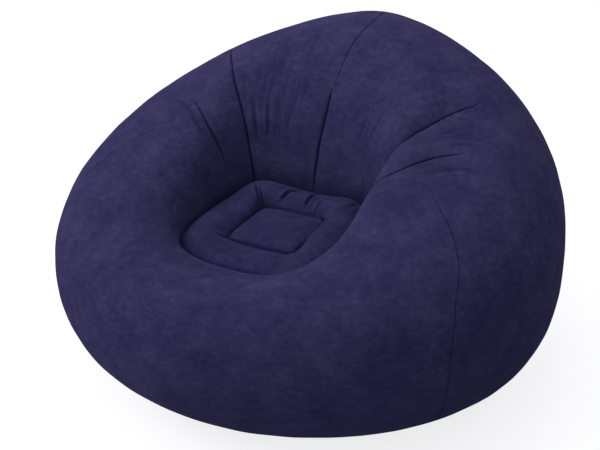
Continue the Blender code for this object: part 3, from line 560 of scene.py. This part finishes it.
def creases(turn, section):
    """How far the small creases of the wall push it in."""
    folds = [(deep, wide, skin_path(points)) for deep, wide, points in SKIN_FOLDS]
    return fold_depth(smooth_skin(turn, section), folds)


def relief(turn, section):
    """How far the seams, the creases and the uneven pull of the sheet move the skin inwards."""
    smooth = smooth_skin(turn, section)
    swell = sum(height * waves(smooth, length, seed) for height, length, seed in WALL_SWELLS)
    swell += ripples(turn, section)
    fade = 1 - smooth_step((section - SWELL_END) / SWELL_FADE)
    swell *= smooth_step(section / SWELL_RISE) * fade
    return groove(turn, section) + creases(turn, section) + swell


def weld_nap_and_painted_shade_on_skin(turn, section):
    """How dark the colour is made, from 0 to 1: the nap lies flat along the welds, and painted
    shade lies in the creases and on the wall just above the seat.
    """
    near = seams(turn, section).values()
    weld = [flat * np.exp(-((away / PRESSED) ** 2)) for away, _, flat in near]
    # Painted shade on the wall just above the seat
    weld.append(np.exp(-(((3 - section) / WALL_PAINTED_SHADE) ** 2)))
    # Painted shade in the creases
    return np.clip(np.max(weld, axis=0) + creases(turn, section) / CREASE_SHADE, 0, 1)


def section_rows():
    """Sections a few millimetres apart, closest in the well."""
    section = np.linspace(0, 3, 6001)
    meridian = smooth_skin(np.full_like(section, math.radians(ROW_TURN)), section)
    step = np.linalg.norm(np.diff(meridian, axis=0), axis=1)
    middle = (section[1:] + section[:-1]) / 2
    count = np.concatenate([[0], np.cumsum(step / through(ROW_SPACING, middle))])
    return np.interp(np.linspace(0, count[-1], round(count[-1]) + 1), count, section)


def toothed(start, end, count):
    """Turns from start to end, closer together beside both. Each row has its own limits."""
    near = NEAR_SEAM * np.minimum((end - start) / NEAR_SEAM[-1] / 3, 1)[:, None]
    left = start[:, None] + near
    right = end[:, None] - near[:, ::-1]
    share = np.linspace(0, 1, count + 1)[1:-1]
    middle = left[:, -1:] + (right[:, :1] - left[:, -1:]) * share
    return np.concatenate([left, middle, right], 1)


def front_columns(section):
    left, right = (np.radians(through(PANEL_SEAMS[side], section)) for side in (-1, 1))
    return toothed(-left, right, FRONT_COLUMNS)


def rear_columns(section, side):
    """The turns of a rear panel from its front seam over the darts to the back seam."""
    tables = (PANEL_SEAMS[side], SHORT_DARTS[side], LONG_DARTS[side])
    panel, short, long = (np.radians(through(table, section)) for table in tables)
    back = math.pi + side * (np.radians(through(BACK_SEAM, section)) - math.pi)
    spans = zip((panel, short, long), (short, long, back), REAR_COLUMNS)
    turns = [toothed(start, end, count)[:, 1:] for start, end, count in spans]
    return side * np.concatenate([panel[:, None], *turns], 1)[:, ::side]


def panel_points(turns, section):
    """The points of a panel with the fins of its welds, and at each how far its nap is pressed at
    the welds and how much painted shade it gets.
    """
    row = np.broadcast_to(section[:, None], turns.shape)
    normals = skin_normal(turns, row)
    points = smooth_skin(turns, row) - relief(turns, row)[..., None] * normals
    for column, inner in ((0, 1), (-1, -2)):
        across = normalized(points[:, inner] - points[:, column])
        points[:, column] += across * GAP / 2
    first = points[:, :1] - normals[:, :1] * FIN
    last = points[:, -1:] - normals[:, -1:] * FIN
    points = np.concatenate([first, points, last], 1)
    middle = np.array([0, BASE_REARWARD, 0])
    inward = (middle - points[0]) * (1, 1, 0)
    lap = points[0] + normalized(inward) * FIN
    fin = points[-1] - np.array([0, 0, FIN])
    weld_nap_and_painted_shade = np.pad(weld_nap_and_painted_shade_on_skin(turns, row), 1, mode="edge")
    return np.concatenate([lap[None], points, fin[None]], 0), weld_nap_and_painted_shade


def valve_land(points):
    """Flattens the wall round the valve. Returns the points and the cells of the valve's hole."""
    axes = np.array(VALVE_AXES)
    local = (points - VALVE_PLACE) @ axes.T
    nearest = np.linalg.norm(local, axis=-1).argmin()
    row, column = np.unravel_index(nearest, local.shape[:2])
    rows = slice(row - OUTER_RING, row + OUTER_RING + 1)
    columns = slice(column - OUTER_RING, column + OUTER_RING + 1)
    block = local[rows, columns]
    offset = np.arange(-OUTER_RING, OUTER_RING + 1)
    up, across = np.meshgrid(offset, offset, indexing="ij")
    ring = np.maximum(abs(up), abs(across))
    wide = abs(across) >= abs(up)
    angle = np.where(
        wide,
        math.pi / 4 * up / np.where(across == 0, 1, across),
        math.pi / 2 - math.pi / 4 * across / np.where(up == 0, 1, up),
    )
    angle += np.where(np.where(wide, across, up) < 0, math.pi, 0)
    radius = np.interp(
        ring, (0, HOLE_RING, LAND_RING, OUTER_RING), (0, VALVE_HOLE, VALVE_LAND, LAND_OUTER)
    )
    mirror = np.sign(block[OUTER_RING, -1, 0])
    x, y = mirror * radius * np.cos(angle), radius * np.sin(angle)
    flat = np.stack([x, y, 0 * x], -1)
    share = smooth_step((ring - LAND_RING) / (OUTER_RING - LAND_RING))[..., None]
    points[rows, columns] = (flat + (block - flat) * share) @ axes + VALVE_PLACE
    hole = {
        (row + i, column + j)
        for i in range(-HOLE_RING, HOLE_RING)
        for j in range(-HOLE_RING, HOLE_RING)
    }
    return points, hole


def placed(name, data):
    """A new object of some data, in the scene."""
    thing = bpy.data.objects.new(name, data)
    bpy.context.scene.collection.objects.link(thing)
    return thing


def grid_mesh(name, points, closed=False, cap=None, skip=(), weld_nap_and_painted_shade=None):
    """A mesh of rows of points. A cap closes the first row, and a skipped cell stays open."""
    rows, columns = points.shape[:2]
    verts = points.reshape(-1, 3).tolist()
    faces = []
    for i in range(rows - 1):
        for j in range(columns if closed else columns - 1):
            if (i, j) in skip:
                continue
            k = (j + 1) % columns
            faces.append(
                (i * columns + j, i * columns + k, (i + 1) * columns + k, (i + 1) * columns + j)
            )
    if cap is not None:
        verts.append(tuple(cap))
        for j in range(columns):
            faces.append((rows * columns, (j + 1) % columns, j))
    mesh = bpy.data.meshes.new(name)
    mesh.from_pydata(verts, [], faces)
    if weld_nap_and_painted_shade is not None:
        values = np.append(weld_nap_and_painted_shade, np.full(len(verts) - weld_nap_and_painted_shade.size, weld_nap_and_painted_shade.flat[0]))
        mesh.attributes.new("weld_nap_and_painted_shade", "FLOAT", "POINT").data.foreach_set("value", values)
    if skip:
        bm = bmesh.new()
        bm.from_mesh(mesh)
        loose = [v for v in bm.verts if not v.link_faces]
        bmesh.ops.delete(bm, geom=loose, context="VERTS")
        bm.to_mesh(mesh)
        bm.free()
    mesh.shade_smooth()
    return placed(name, mesh)


def thicken(piece):
    solidify = piece.modifiers.new("Sheet thickness", "SOLIDIFY")
    solidify.thickness = SHEET
    solidify.offset = -1
    return piece


def attach(piece, material, node, body="chamber"):
    piece.data.materials.append(material)
    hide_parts(node)
    if body:
        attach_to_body(piece, body)


def make_panels(skin):
    section = section_rows()
    layout = (
        ("front_skin", "front_panel", front_columns(section)),
        ("rear_right_skin", "rear_right_panel", rear_columns(section, 1)),
        ("rear_left_skin", "rear_left_panel", rear_columns(section, -1)),
    )
    for name, node, turns in layout:
        points, weld_nap_and_painted_shade = panel_points(turns, section)
        hole = ()
        if node == "rear_left_panel":
            points, hole = valve_land(points)
        piece = thicken(grid_mesh(name, points, skip=hole, weld_nap_and_painted_shade=weld_nap_and_painted_shade))
        attach(piece, skin, node)


def round_turns(count):
    return np.linspace(0, 2 * math.pi, count, endpoint=False)


def clustered(count):
    """Shares from 0 to 1, closer together near both ends."""
    share = np.linspace(0, 1, count + 1)
    return share**CLUSTERING / (share**CLUSTERING + (1 - share) ** CLUSTERING)


def seat_outlines(turns):
    """The outline of the pad's weld and of the seat's weld with the wall."""
    pad = square_point(PAD_WIDTH, PAD_DEPTH, PAD_SQUARENESS, 0, turns)
    pad[:, 2] = PAD_EDGE_HEIGHT + PAD_TILT * (pad[:, 1] + SEAT_FORWARD)
    width = SEAT_WIDTH - 2 * GAP
    return pad, square_point(width, width, SEAT_SQUARENESS, SEAT_HEIGHT, turns)


def seat_rings(turns):
    """The rings of the blown-up seat from its pad's middle to its rim, before any crease."""
    pad, rim = seat_outlines(turns)
    middle = np.array([0, -SEAT_FORWARD, PAD_EDGE_HEIGHT])
    rear_corner = np.where(np.cos(turns) < 0, np.sin(2 * turns) ** 4, 0)
    rise = round_about(*ROLL_RISES, turns) * (1 + ROLL_CORNER_RISE * rear_corner)
    fullness = round_about(*ROLL_FULLNESS, turns)
    rings = []
    for share in clustered(PAD_RINGS)[1:]:
        ring = middle + (pad - middle) * share
        ring[:, 2] += PAD_CROWN * (1 - share ** PAD_FLATNESS[0]) ** PAD_FLATNESS[1]
        rings.append(ring)
    for share in clustered(ROLL_RINGS)[1:]:
        ring = pad + (rim - pad) * share
        if share < 1:
            ring[:, 2] += rise * math.sin(math.pi * share) ** fullness
        rings.append(ring)
    return np.array(rings)


def laid_out(rings):
    """The rings' places in plan, where the roll's rows lie as far apart as its skin is long."""
    pad, rim = rings[PAD_RINGS - 1, :, :2], rings[-1, :, :2]
    steps = np.linalg.norm(np.diff(rings[PAD_RINGS - 1 :], axis=0), axis=-1)
    share = (np.cumsum(steps, 0) / steps.sum(0))[..., None]
    return np.concatenate([rings[:PAD_RINGS, :, :2], pad + (rim - pad) * share], 0)


def seat_points():
    """The points of the seat with its creases and its fin, and at each how much painted shade it
    gets.

    Its rings turn the other way round than the wall's rows, so that they face up.
    """
    rings = seat_rings(-round_turns(SEAT_COLUMNS))
    folds = [(deep, wide, np.array(path)) for deep, wide, path in ROLL_FOLDS]
    from_rim = np.linalg.norm(rings - rings[-1], axis=-1)
    from_pad = np.linalg.norm(rings - rings[PAD_RINGS - 1], axis=-1)
    creased = fold_depth(laid_out(rings), folds) * smooth_step(from_pad / ROLL_FOLD_FADE)
    # Painted shade on the seat: a band beside the rim weld and the pad weld, a share all over, and
    # the creases
    weld = np.minimum(from_rim / RIM_PAINTED_SHADE, from_pad / PAD_PAINTED_SHADE)
    weld_nap_and_painted_shade = SEAT_PAINTED_SHADE + np.exp(-(weld**2)) + creased / CREASE_SHADE
    across = np.roll(rings, -1, 1) - np.roll(rings, 1, 1)
    normals = normalized(np.cross(across, np.gradient(rings, axis=0)))
    height, length, seed = ROLL_SWELL
    uneven = height * smooth_step(from_rim / ROLL_SWELL_FADE) * waves(rings, length, seed)
    rings -= (creased + uneven)[..., None] * normals
    points = np.concatenate([rings, rings[-1:] - np.array([0, 0, FIN])], 0)
    return points, np.clip(np.concatenate([weld_nap_and_painted_shade, weld_nap_and_painted_shade[-1:]]), 0, 1)


def make_seat(skin):
    top = (0, -SEAT_FORWARD, PAD_EDGE_HEIGHT + PAD_CROWN)
    points, weld_nap_and_painted_shade = seat_points()
    piece = thicken(grid_mesh("seat_skin", points, closed=True, cap=top, weld_nap_and_painted_shade=weld_nap_and_painted_shade))
    attach(piece, skin, "seat_sheet")


def make_base(vinyl):
    """The flat sheet under the chair. Its rings face down."""
    rim = ring_point(BASE_WIDTH, BASE_DEPTH, BASE_REARWARD, 0, round_turns(RING_COLUMNS))
    middle = np.array([0, BASE_REARWARD, 0])
    shares = np.linspace(BASE_HEART, 1, BASE_RINGS)
    rings = np.array([middle + (rim - middle) * share for share in shares])
    piece = thicken(grid_mesh("base_skin", rings, closed=True, cap=middle))
    attach(piece, vinyl, "base_sheet")


def make_tie(name, node, top, foot, vinyl):
    """A membrane from a weld of the seat down to the base, with vents for the air."""
    below = top - np.array([0, 0, TIE_DROP])
    middle = np.array([0, -TIE_FOOT_FORWARD, foot[0, 2]])
    lap = foot + normalized(middle - foot) * FIN
    rows = [foot + (below - foot) * share for share in np.linspace(0, 1, TIE_ROWS)]
    points = np.array([lap, *rows, top])
    columns = [j for j in range(len(top)) if j % VENT_PITCH in VENT_COLUMNS]
    vents = {(i, j) for i in VENT_ROWS for j in columns}
    piece = thicken(grid_mesh(name, points, closed=True, skip=vents))
    attach(piece, vinyl, node)


def make_ties(vinyl):
    turns = round_turns(RING_COLUMNS)
    pad, rim = seat_outlines(turns)
    middle = np.array([0, -SEAT_FORWARD, SEAT_HEIGHT])
    rim = rim + normalized(middle - rim) * (3 * GAP + SHEET) - np.array([0, 0, SHEET])
    pad = pad - np.array([0, 0, SHEET + GAP + PAD_TIE_CLEARANCE])
    height = 2 * SHEET + GAP
    feet = square_point(
        TIE_FOOT_WIDTH, TIE_FOOT_WIDTH, SEAT_SQUARENESS, height, turns, TIE_FOOT_FORWARD
    )
    make_tie("seat_tie_skin", "seat_tie_band", rim, feet, vinyl)
    feet = square_point(PAD_WIDTH, PAD_DEPTH, PAD_SQUARENESS, height, turns, TIE_FOOT_FORWARD)
    make_tie("pad_tie_skin", "pad_tie_band", pad, feet, vinyl)


def valve_point(x, y, z):
    place = np.array([x, y, z]) @ np.array(VALVE_AXES) + VALVE_PLACE
    return Vector(place)


def strap_section(count, half_width, half_thickness):
    """The blunt oval outline of the strap, across it and through it."""

    def blunt(value):
        return math.copysign(abs(value) ** STRAP_BLUNTNESS, value)

    return [
        (blunt(math.cos(a)) * half_width, blunt(math.sin(a)) * half_thickness)
        for a in round_turns(count)
    ]


def skin_over(bm, rows):
    """Faces between each row of points and the next."""
    for one, other in zip(rows, rows[1:]):
        for i in range(len(one)):
            k = (i + 1) % len(one)
            bm.faces.new((one[i], one[k], other[k], other[i]))


def strap_ring(middle, height):
    """The ring that lies round the valve's collar."""
    bm = bmesh.new()
    section = strap_section(RING_POINTS, (STRAP_OUTER - STRAP_INNER) / 2, STRAP_THICKNESS / 2)
    rows = []
    for angle in round_turns(STRAP_ROWS):
        spots = [(middle + out, height + up) for out, up in section]
        places = [valve_point(r * math.cos(angle), r * math.sin(angle), z) for r, z in spots]
        rows.append([bm.verts.new(place) for place in places])
    skin_over(bm, rows + rows[:1])
    return bm


def strap_strip(path):
    """The strap's loop along a path in the valve's plane of symmetry."""
    bm = bmesh.new()
    section = strap_section(STRIP_POINTS, STRAP_WIDTH / 2, STRAP_THICKNESS / 2)
    rows = []
    for i, (y, z) in enumerate(path):
        before, after = path[max(i - 1, 0)], path[min(i + 1, len(path) - 1)]
        length = math.dist(before, after)
        along = ((after[0] - before[0]) / length, (after[1] - before[1]) / length)
        places = [valve_point(x, y - along[1] * lift, z + along[0] * lift) for x, lift in section]
        rows.append([bm.verts.new(place) for place in places])
    skin_over(bm, rows)
    bm.faces.new(rows[0])
    bm.faces.new(rows[-1])
    return bm


def make_strap(vinyl):
    """The strap that keeps the plug: a ring on the collar and a loop to the plug's rim."""
    middle = (STRAP_INNER + STRAP_OUTER) / 2
    low, high = STRAP_LOW + STRAP_THICKNESS / 2, STRAP_HIGH + STRAP_THICKNESS / 2
    radius = (high - low) / 2
    bend = -STRAP_REACH + radius, low + radius
    path = [(-middle, low), (-middle - STRAP_STRAIGHT, low), (-STRAP_REACH + 4 * radius, low)]
    for angle in np.linspace(-math.pi / 2, -3 * math.pi / 2, BEND_ROWS):
        path.append((bend[0] + radius * math.cos(angle), bend[1] + radius * math.sin(angle)))
    path += [(-STRAP_REACH + 4 * radius, high), (-PLUG_RIM - STRAP_STRAIGHT, high)]
    path.append((-PLUG_RIM, high))
    meshes = {"plug_strap_skin": strap_ring(middle, low), "strap_strip": strap_strip(path)}
    pieces = []
    for name, bm in meshes.items():
        bmesh.ops.recalc_face_normals(bm, faces=bm.faces)
        mesh = bpy.data.meshes.new(name)
        bm.to_mesh(mesh)
        bm.free()
        pieces.append(placed(name, mesh))
    strap, loop = pieces
    union = strap.modifiers.new("One strap", "BOOLEAN")
    union.operation = "UNION"
    union.object = loop
    graph = bpy.context.evaluated_depsgraph_get()
    joined = bpy.data.meshes.new_from_object(strap.evaluated_get(graph))
    strap.modifiers.clear()
    strap.data = joined
    bpy.data.objects.remove(loop)
    joined.shade_smooth()
    joined.set_sharp_from_angle(angle=math.radians(SHARP_ANGLE))
    attach(strap, vinyl, "plug_strap", body=None)
    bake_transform(strap)


def new_material(name):
    """A material, its nodes and its links."""
    material = bpy.data.materials.new(name)
    material.use_nodes = True
    return material, material.node_tree.nodes, material.node_tree.links


def colour_ramp(nodes, links, value, stops):
    """The colour for a value, of stops with a place and a colour each."""
    ramp = nodes.new("ShaderNodeValToRGB")
    ends = ramp.color_ramp.elements
    for element, (place, colour) in ((ends[0], stops[0]), (ends[1], stops[-1])):
        element.position = place
        element.color = (*colour, 1)
    for place, colour in stops[1:-1]:
        ramp.color_ramp.elements.new(place).color = (*colour, 1)
    links.new(value, ramp.inputs["Fac"])
    return ramp.outputs["Color"]


def multiply_colours(nodes):
    """A node that multiplies its colour A by its colour B."""
    mix = nodes.new("ShaderNodeMix")
    mix.data_type = "RGBA"
    mix.blend_type = "MULTIPLY"
    mix.inputs["Factor"].default_value = 1
    return mix


def roughen(nodes, links, height, strength, distance, shader):
    bump = nodes.new("ShaderNodeBump")
    bump.inputs["Strength"].default_value = strength
    bump.inputs["Distance"].default_value = distance
    links.new(height, bump.inputs["Height"])
    links.new(bump.outputs["Normal"], shader.inputs["Normal"])


def noise_node(nodes, links, place, scale, detail, roughness=0.5, distortion=0):
    texture = nodes.new("ShaderNodeTexNoise")
    texture.inputs["Scale"].default_value = scale
    texture.inputs["Detail"].default_value = detail
    texture.inputs["Roughness"].default_value = roughness
    texture.inputs["Distortion"].default_value = distortion
    links.new(place, texture.inputs["Vector"])
    return texture.outputs["Fac"]


def flocked_skin():
    """Short velvet flock: brushed patches of nap, a fine grain, a soft sheen, and darker colour
    from a mesh attribute along the welds and as painted shade.
    """
    material, nodes, links = new_material("flocked_skin")
    shader = nodes["Principled BSDF"]
    shader.inputs["Roughness"].default_value = 0.95
    shader.inputs["Specular IOR Level"].default_value = 0
    shader.inputs["Sheen Weight"].default_value = 0.08
    shader.inputs["Sheen Roughness"].default_value = 0.5
    shader.inputs["Sheen Tint"].default_value = (0.50, 0.46, 0.95, 1)
    place = nodes.new("ShaderNodeTexCoord").outputs["Object"]
    stretch = nodes.new("ShaderNodeMapping")
    stretch.inputs["Scale"].default_value = (1, 1, 1.9)
    links.new(place, stretch.inputs["Vector"])
    patches = noise_node(nodes, links, place, 17, 4, 0.58, 0.2)
    streaks = noise_node(nodes, links, stretch.outputs["Vector"], 62, 4, 0.68)
    nap = nodes.new("ShaderNodeMix")
    nap.inputs["Factor"].default_value = 0.5
    links.new(patches, nap.inputs["A"])
    links.new(streaks, nap.inputs["B"])
    shades = (
        (0.34, (0.0200, 0.0197, 0.0670)),
        (0.5, (0.0308, 0.0292, 0.0850)),
        (0.66, (0.0460, 0.0425, 0.1065)),
    )
    specks = ((0.3, (0.86, 0.86, 0.87)), (0.5, (1, 1, 1)), (0.72, (1.16, 1.16, 1.14)))
    grain = noise_node(nodes, links, place, 260, 4, 0.7)
    blend = multiply_colours(nodes)
    links.new(colour_ramp(nodes, links, nap.outputs["Result"], shades), blend.inputs["A"])
    links.new(colour_ramp(nodes, links, grain, specks), blend.inputs["B"])
    # The attribute darkens the colour towards the colour below: the nap pressed flat along the
    # welds, and painted shade in the creases, on the wall near the seat and over the seat
    flat = nodes.new("ShaderNodeAttribute")
    flat.attribute_name = "weld_nap_and_painted_shade"
    welds_and_painted_shade = multiply_colours(nodes)
    welds_and_painted_shade.inputs["B"].default_value = (0.36, 0.34, 0.52, 1)
    links.new(flat.outputs["Fac"], welds_and_painted_shade.inputs["Factor"])
    links.new(blend.outputs["Result"], welds_and_painted_shade.inputs["A"])
    links.new(welds_and_painted_shade.outputs["Result"], shader.inputs["Base Color"])
    pile = noise_node(nodes, links, place, 700, 3, 0.6)
    roughen(nodes, links, pile, 0.3, 0.001, shader)
    return material


def moulded(name, colour, roughness, grain_scale, grain_strength):
    """Vinyl or soft plastic with a little unevenness in its colour, gloss and surface."""
    material, nodes, links = new_material(name)
    shader = nodes["Principled BSDF"]
    place = nodes.new("ShaderNodeTexCoord").outputs["Object"]
    cloud = noise_node(nodes, links, place, 30, 4)
    low = tuple(0.9 * c for c in colour)
    high = tuple(min(1.08 * c, 1) for c in colour)
    tint = colour_ramp(nodes, links, cloud, ((0.35, low), (0.65, high)))
    links.new(tint, shader.inputs["Base Color"])
    gloss = nodes.new("ShaderNodeMapRange")
    gloss.inputs["To Min"].default_value = roughness - 0.06
    gloss.inputs["To Max"].default_value = roughness + 0.06
    links.new(cloud, gloss.inputs["Value"])
    links.new(gloss.outputs["Result"], shader.inputs["Roughness"])
    grain = noise_node(nodes, links, place, grain_scale, 3)
    roughen(nodes, links, grain, grain_strength, 0.0005, shader)
    return material


def finish_valve(vinyl, rubber):
    for node in ("valve_flange", "valve_plug", "valve_cap", "check_flap"):
        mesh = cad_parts[node].data
        mesh.materials.clear()
        mesh.materials.append(rubber if node == "check_flap" else vinyl)


def seen_by_camera(nodes, links):
    """1 where the camera sees a surface directly, in a mirror or through glass."""
    rays = nodes.new("ShaderNodeLightPath")
    seen = rays.outputs["Is Camera Ray"]
    for other in ("Is Glossy Ray", "Is Transmission Ray"):
        larger = nodes.new("ShaderNodeMath")
        larger.operation = "MAXIMUM"
        links.new(seen, larger.inputs[0])
        links.new(rays.outputs[other], larger.inputs[1])
        seen = larger.outputs[0]
    return seen


def make_floor():
    """A pale floor that is white to the camera but for the object's shadow."""
    mesh = bpy.data.meshes.new("floor")
    signs = ((-1, -1), (1, -1), (1, 1), (-1, 1))
    corners = [(x * FLOOR_REACH, y * FLOOR_REACH, 0) for x, y in signs]
    mesh.from_pydata(corners, [], [(0, 1, 2, 3)])
    floor = placed("floor", mesh)
    material, nodes, links = new_material("floor_paper")
    paper = nodes["Principled BSDF"]
    paper.inputs["Base Color"].default_value = (0.35, 0.35, 0.4, 1)
    paper.inputs["Roughness"].default_value = 1
    paper.inputs["Specular IOR Level"].default_value = 0
    white = nodes.new("ShaderNodeEmission")
    glow = nodes.new("ShaderNodeMath")
    glow.operation = "MULTIPLY"
    glow.inputs[1].default_value = FLOOR_GLOW
    links.new(seen_by_camera(nodes, links), glow.inputs[0])
    links.new(glow.outputs[0], white.inputs["Strength"])
    both = nodes.new("ShaderNodeAddShader")
    links.new(paper.outputs[0], both.inputs[0])
    links.new(white.outputs[0], both.inputs[1])
    links.new(both.outputs[0], nodes["Material Output"].inputs["Surface"])
    mesh.materials.append(material)


def way_from(azimuth, elevation):
    """A level turn from the front and an elevation, in degrees, as a direction from the chair."""
    turn, climb = math.radians(azimuth), math.radians(elevation)
    level = math.cos(climb)
    return Vector((math.sin(turn) * level, -math.cos(turn) * level, math.sin(climb)))


def white_world():
    """A soft light, brighter from the camera's left, which shows as white behind the object."""
    world = bpy.data.worlds.new("studio")
    bpy.context.scene.world = world
    world.use_nodes = True
    nodes, links = world.node_tree.nodes, world.node_tree.links
    lit = nodes["Background"]
    lit.inputs["Color"].default_value = (0.97, 0.97, 1, 1)
    leftward = nodes.new("ShaderNodeVectorMath")
    leftward.operation = "DOT_PRODUCT"
    leftward.inputs[1].default_value = way_from(CAMERA_AZIMUTH - 90, 0)
    links.new(nodes.new("ShaderNodeTexCoord").outputs["Generated"], leftward.inputs[0])
    strength = nodes.new("ShaderNodeMapRange")
    strength.inputs["From Min"].default_value = -1
    strength.inputs["To Min"].default_value = WORLD_LIGHT[0]
    strength.inputs["To Max"].default_value = WORLD_LIGHT[1]
    links.new(leftward.outputs["Value"], strength.inputs["Value"])
    links.new(strength.outputs["Result"], lit.inputs["Strength"])
    shown = nodes.new("ShaderNodeBackground")
    shown.inputs["Color"].default_value = (1, 1, 1, 1)
    shown.inputs["Strength"].default_value = 1
    mix = nodes.new("ShaderNodeMixShader")
    links.new(seen_by_camera(nodes, links), mix.inputs[0])
    links.new(lit.outputs[0], mix.inputs[1])
    links.new(shown.outputs[0], mix.inputs[2])
    links.new(mix.outputs[0], nodes["World Output"].inputs["Surface"])


def area_light(name, place, size, power):
    """A round lamp that shines at the middle of the chair."""
    light = bpy.data.lights.new(name, "AREA")
    light.shape = "DISK"
    light.size = size
    light.energy = power
    lamp = placed(name, light)
    lamp.location = place
    aim = Vector(CAMERA_TARGET) - lamp.location
    lamp.rotation_euler = aim.to_track_quat("-Z", "Y").to_euler()


def make_camera():
    back = way_from(CAMERA_AZIMUTH, CAMERA_ELEVATION)
    data = bpy.data.cameras.new("camera")
    camera = placed("camera", data)
    camera.location = Vector(CAMERA_TARGET) + back * CAMERA_DISTANCE
    camera.rotation_euler = (-back).to_track_quat("-Z", "Y").to_euler()
    data.sensor_width = SENSOR_WIDTH
    data.lens = SENSOR_WIDTH * FOCAL_PIXELS / IMAGE_WIDTH
    data.shift_x = (IMAGE_WIDTH / 2 - CENTRE_PIXEL[0]) / IMAGE_WIDTH
    data.shift_y = (CENTRE_PIXEL[1] - IMAGE_HEIGHT / 2) / IMAGE_WIDTH
    bpy.context.scene.camera = camera


make_camera()
white_world()
for name, (azimuth, elevation, size, power) in LAMPS.items():
    way = way_from(CAMERA_AZIMUTH - azimuth, elevation)
    area_light(name, Vector(CAMERA_TARGET) + way * LAMP_DISTANCE, size, power)
area_light("above", *LAMP_ABOVE)
make_floor()
flock = flocked_skin()
make_panels(flock)
make_seat(flock)
make_base(moulded("base_vinyl", *BASE_VINYL))
make_ties(moulded("inner_vinyl", *INNER_VINYL))
valve_vinyl = moulded("valve_vinyl", *VALVE_VINYL)
make_strap(valve_vinyl)
finish_valve(valve_vinyl, moulded("flap_rubber", *FLAP_RUBBER))
bpy.context.scene.view_settings.view_transform = "Standard"
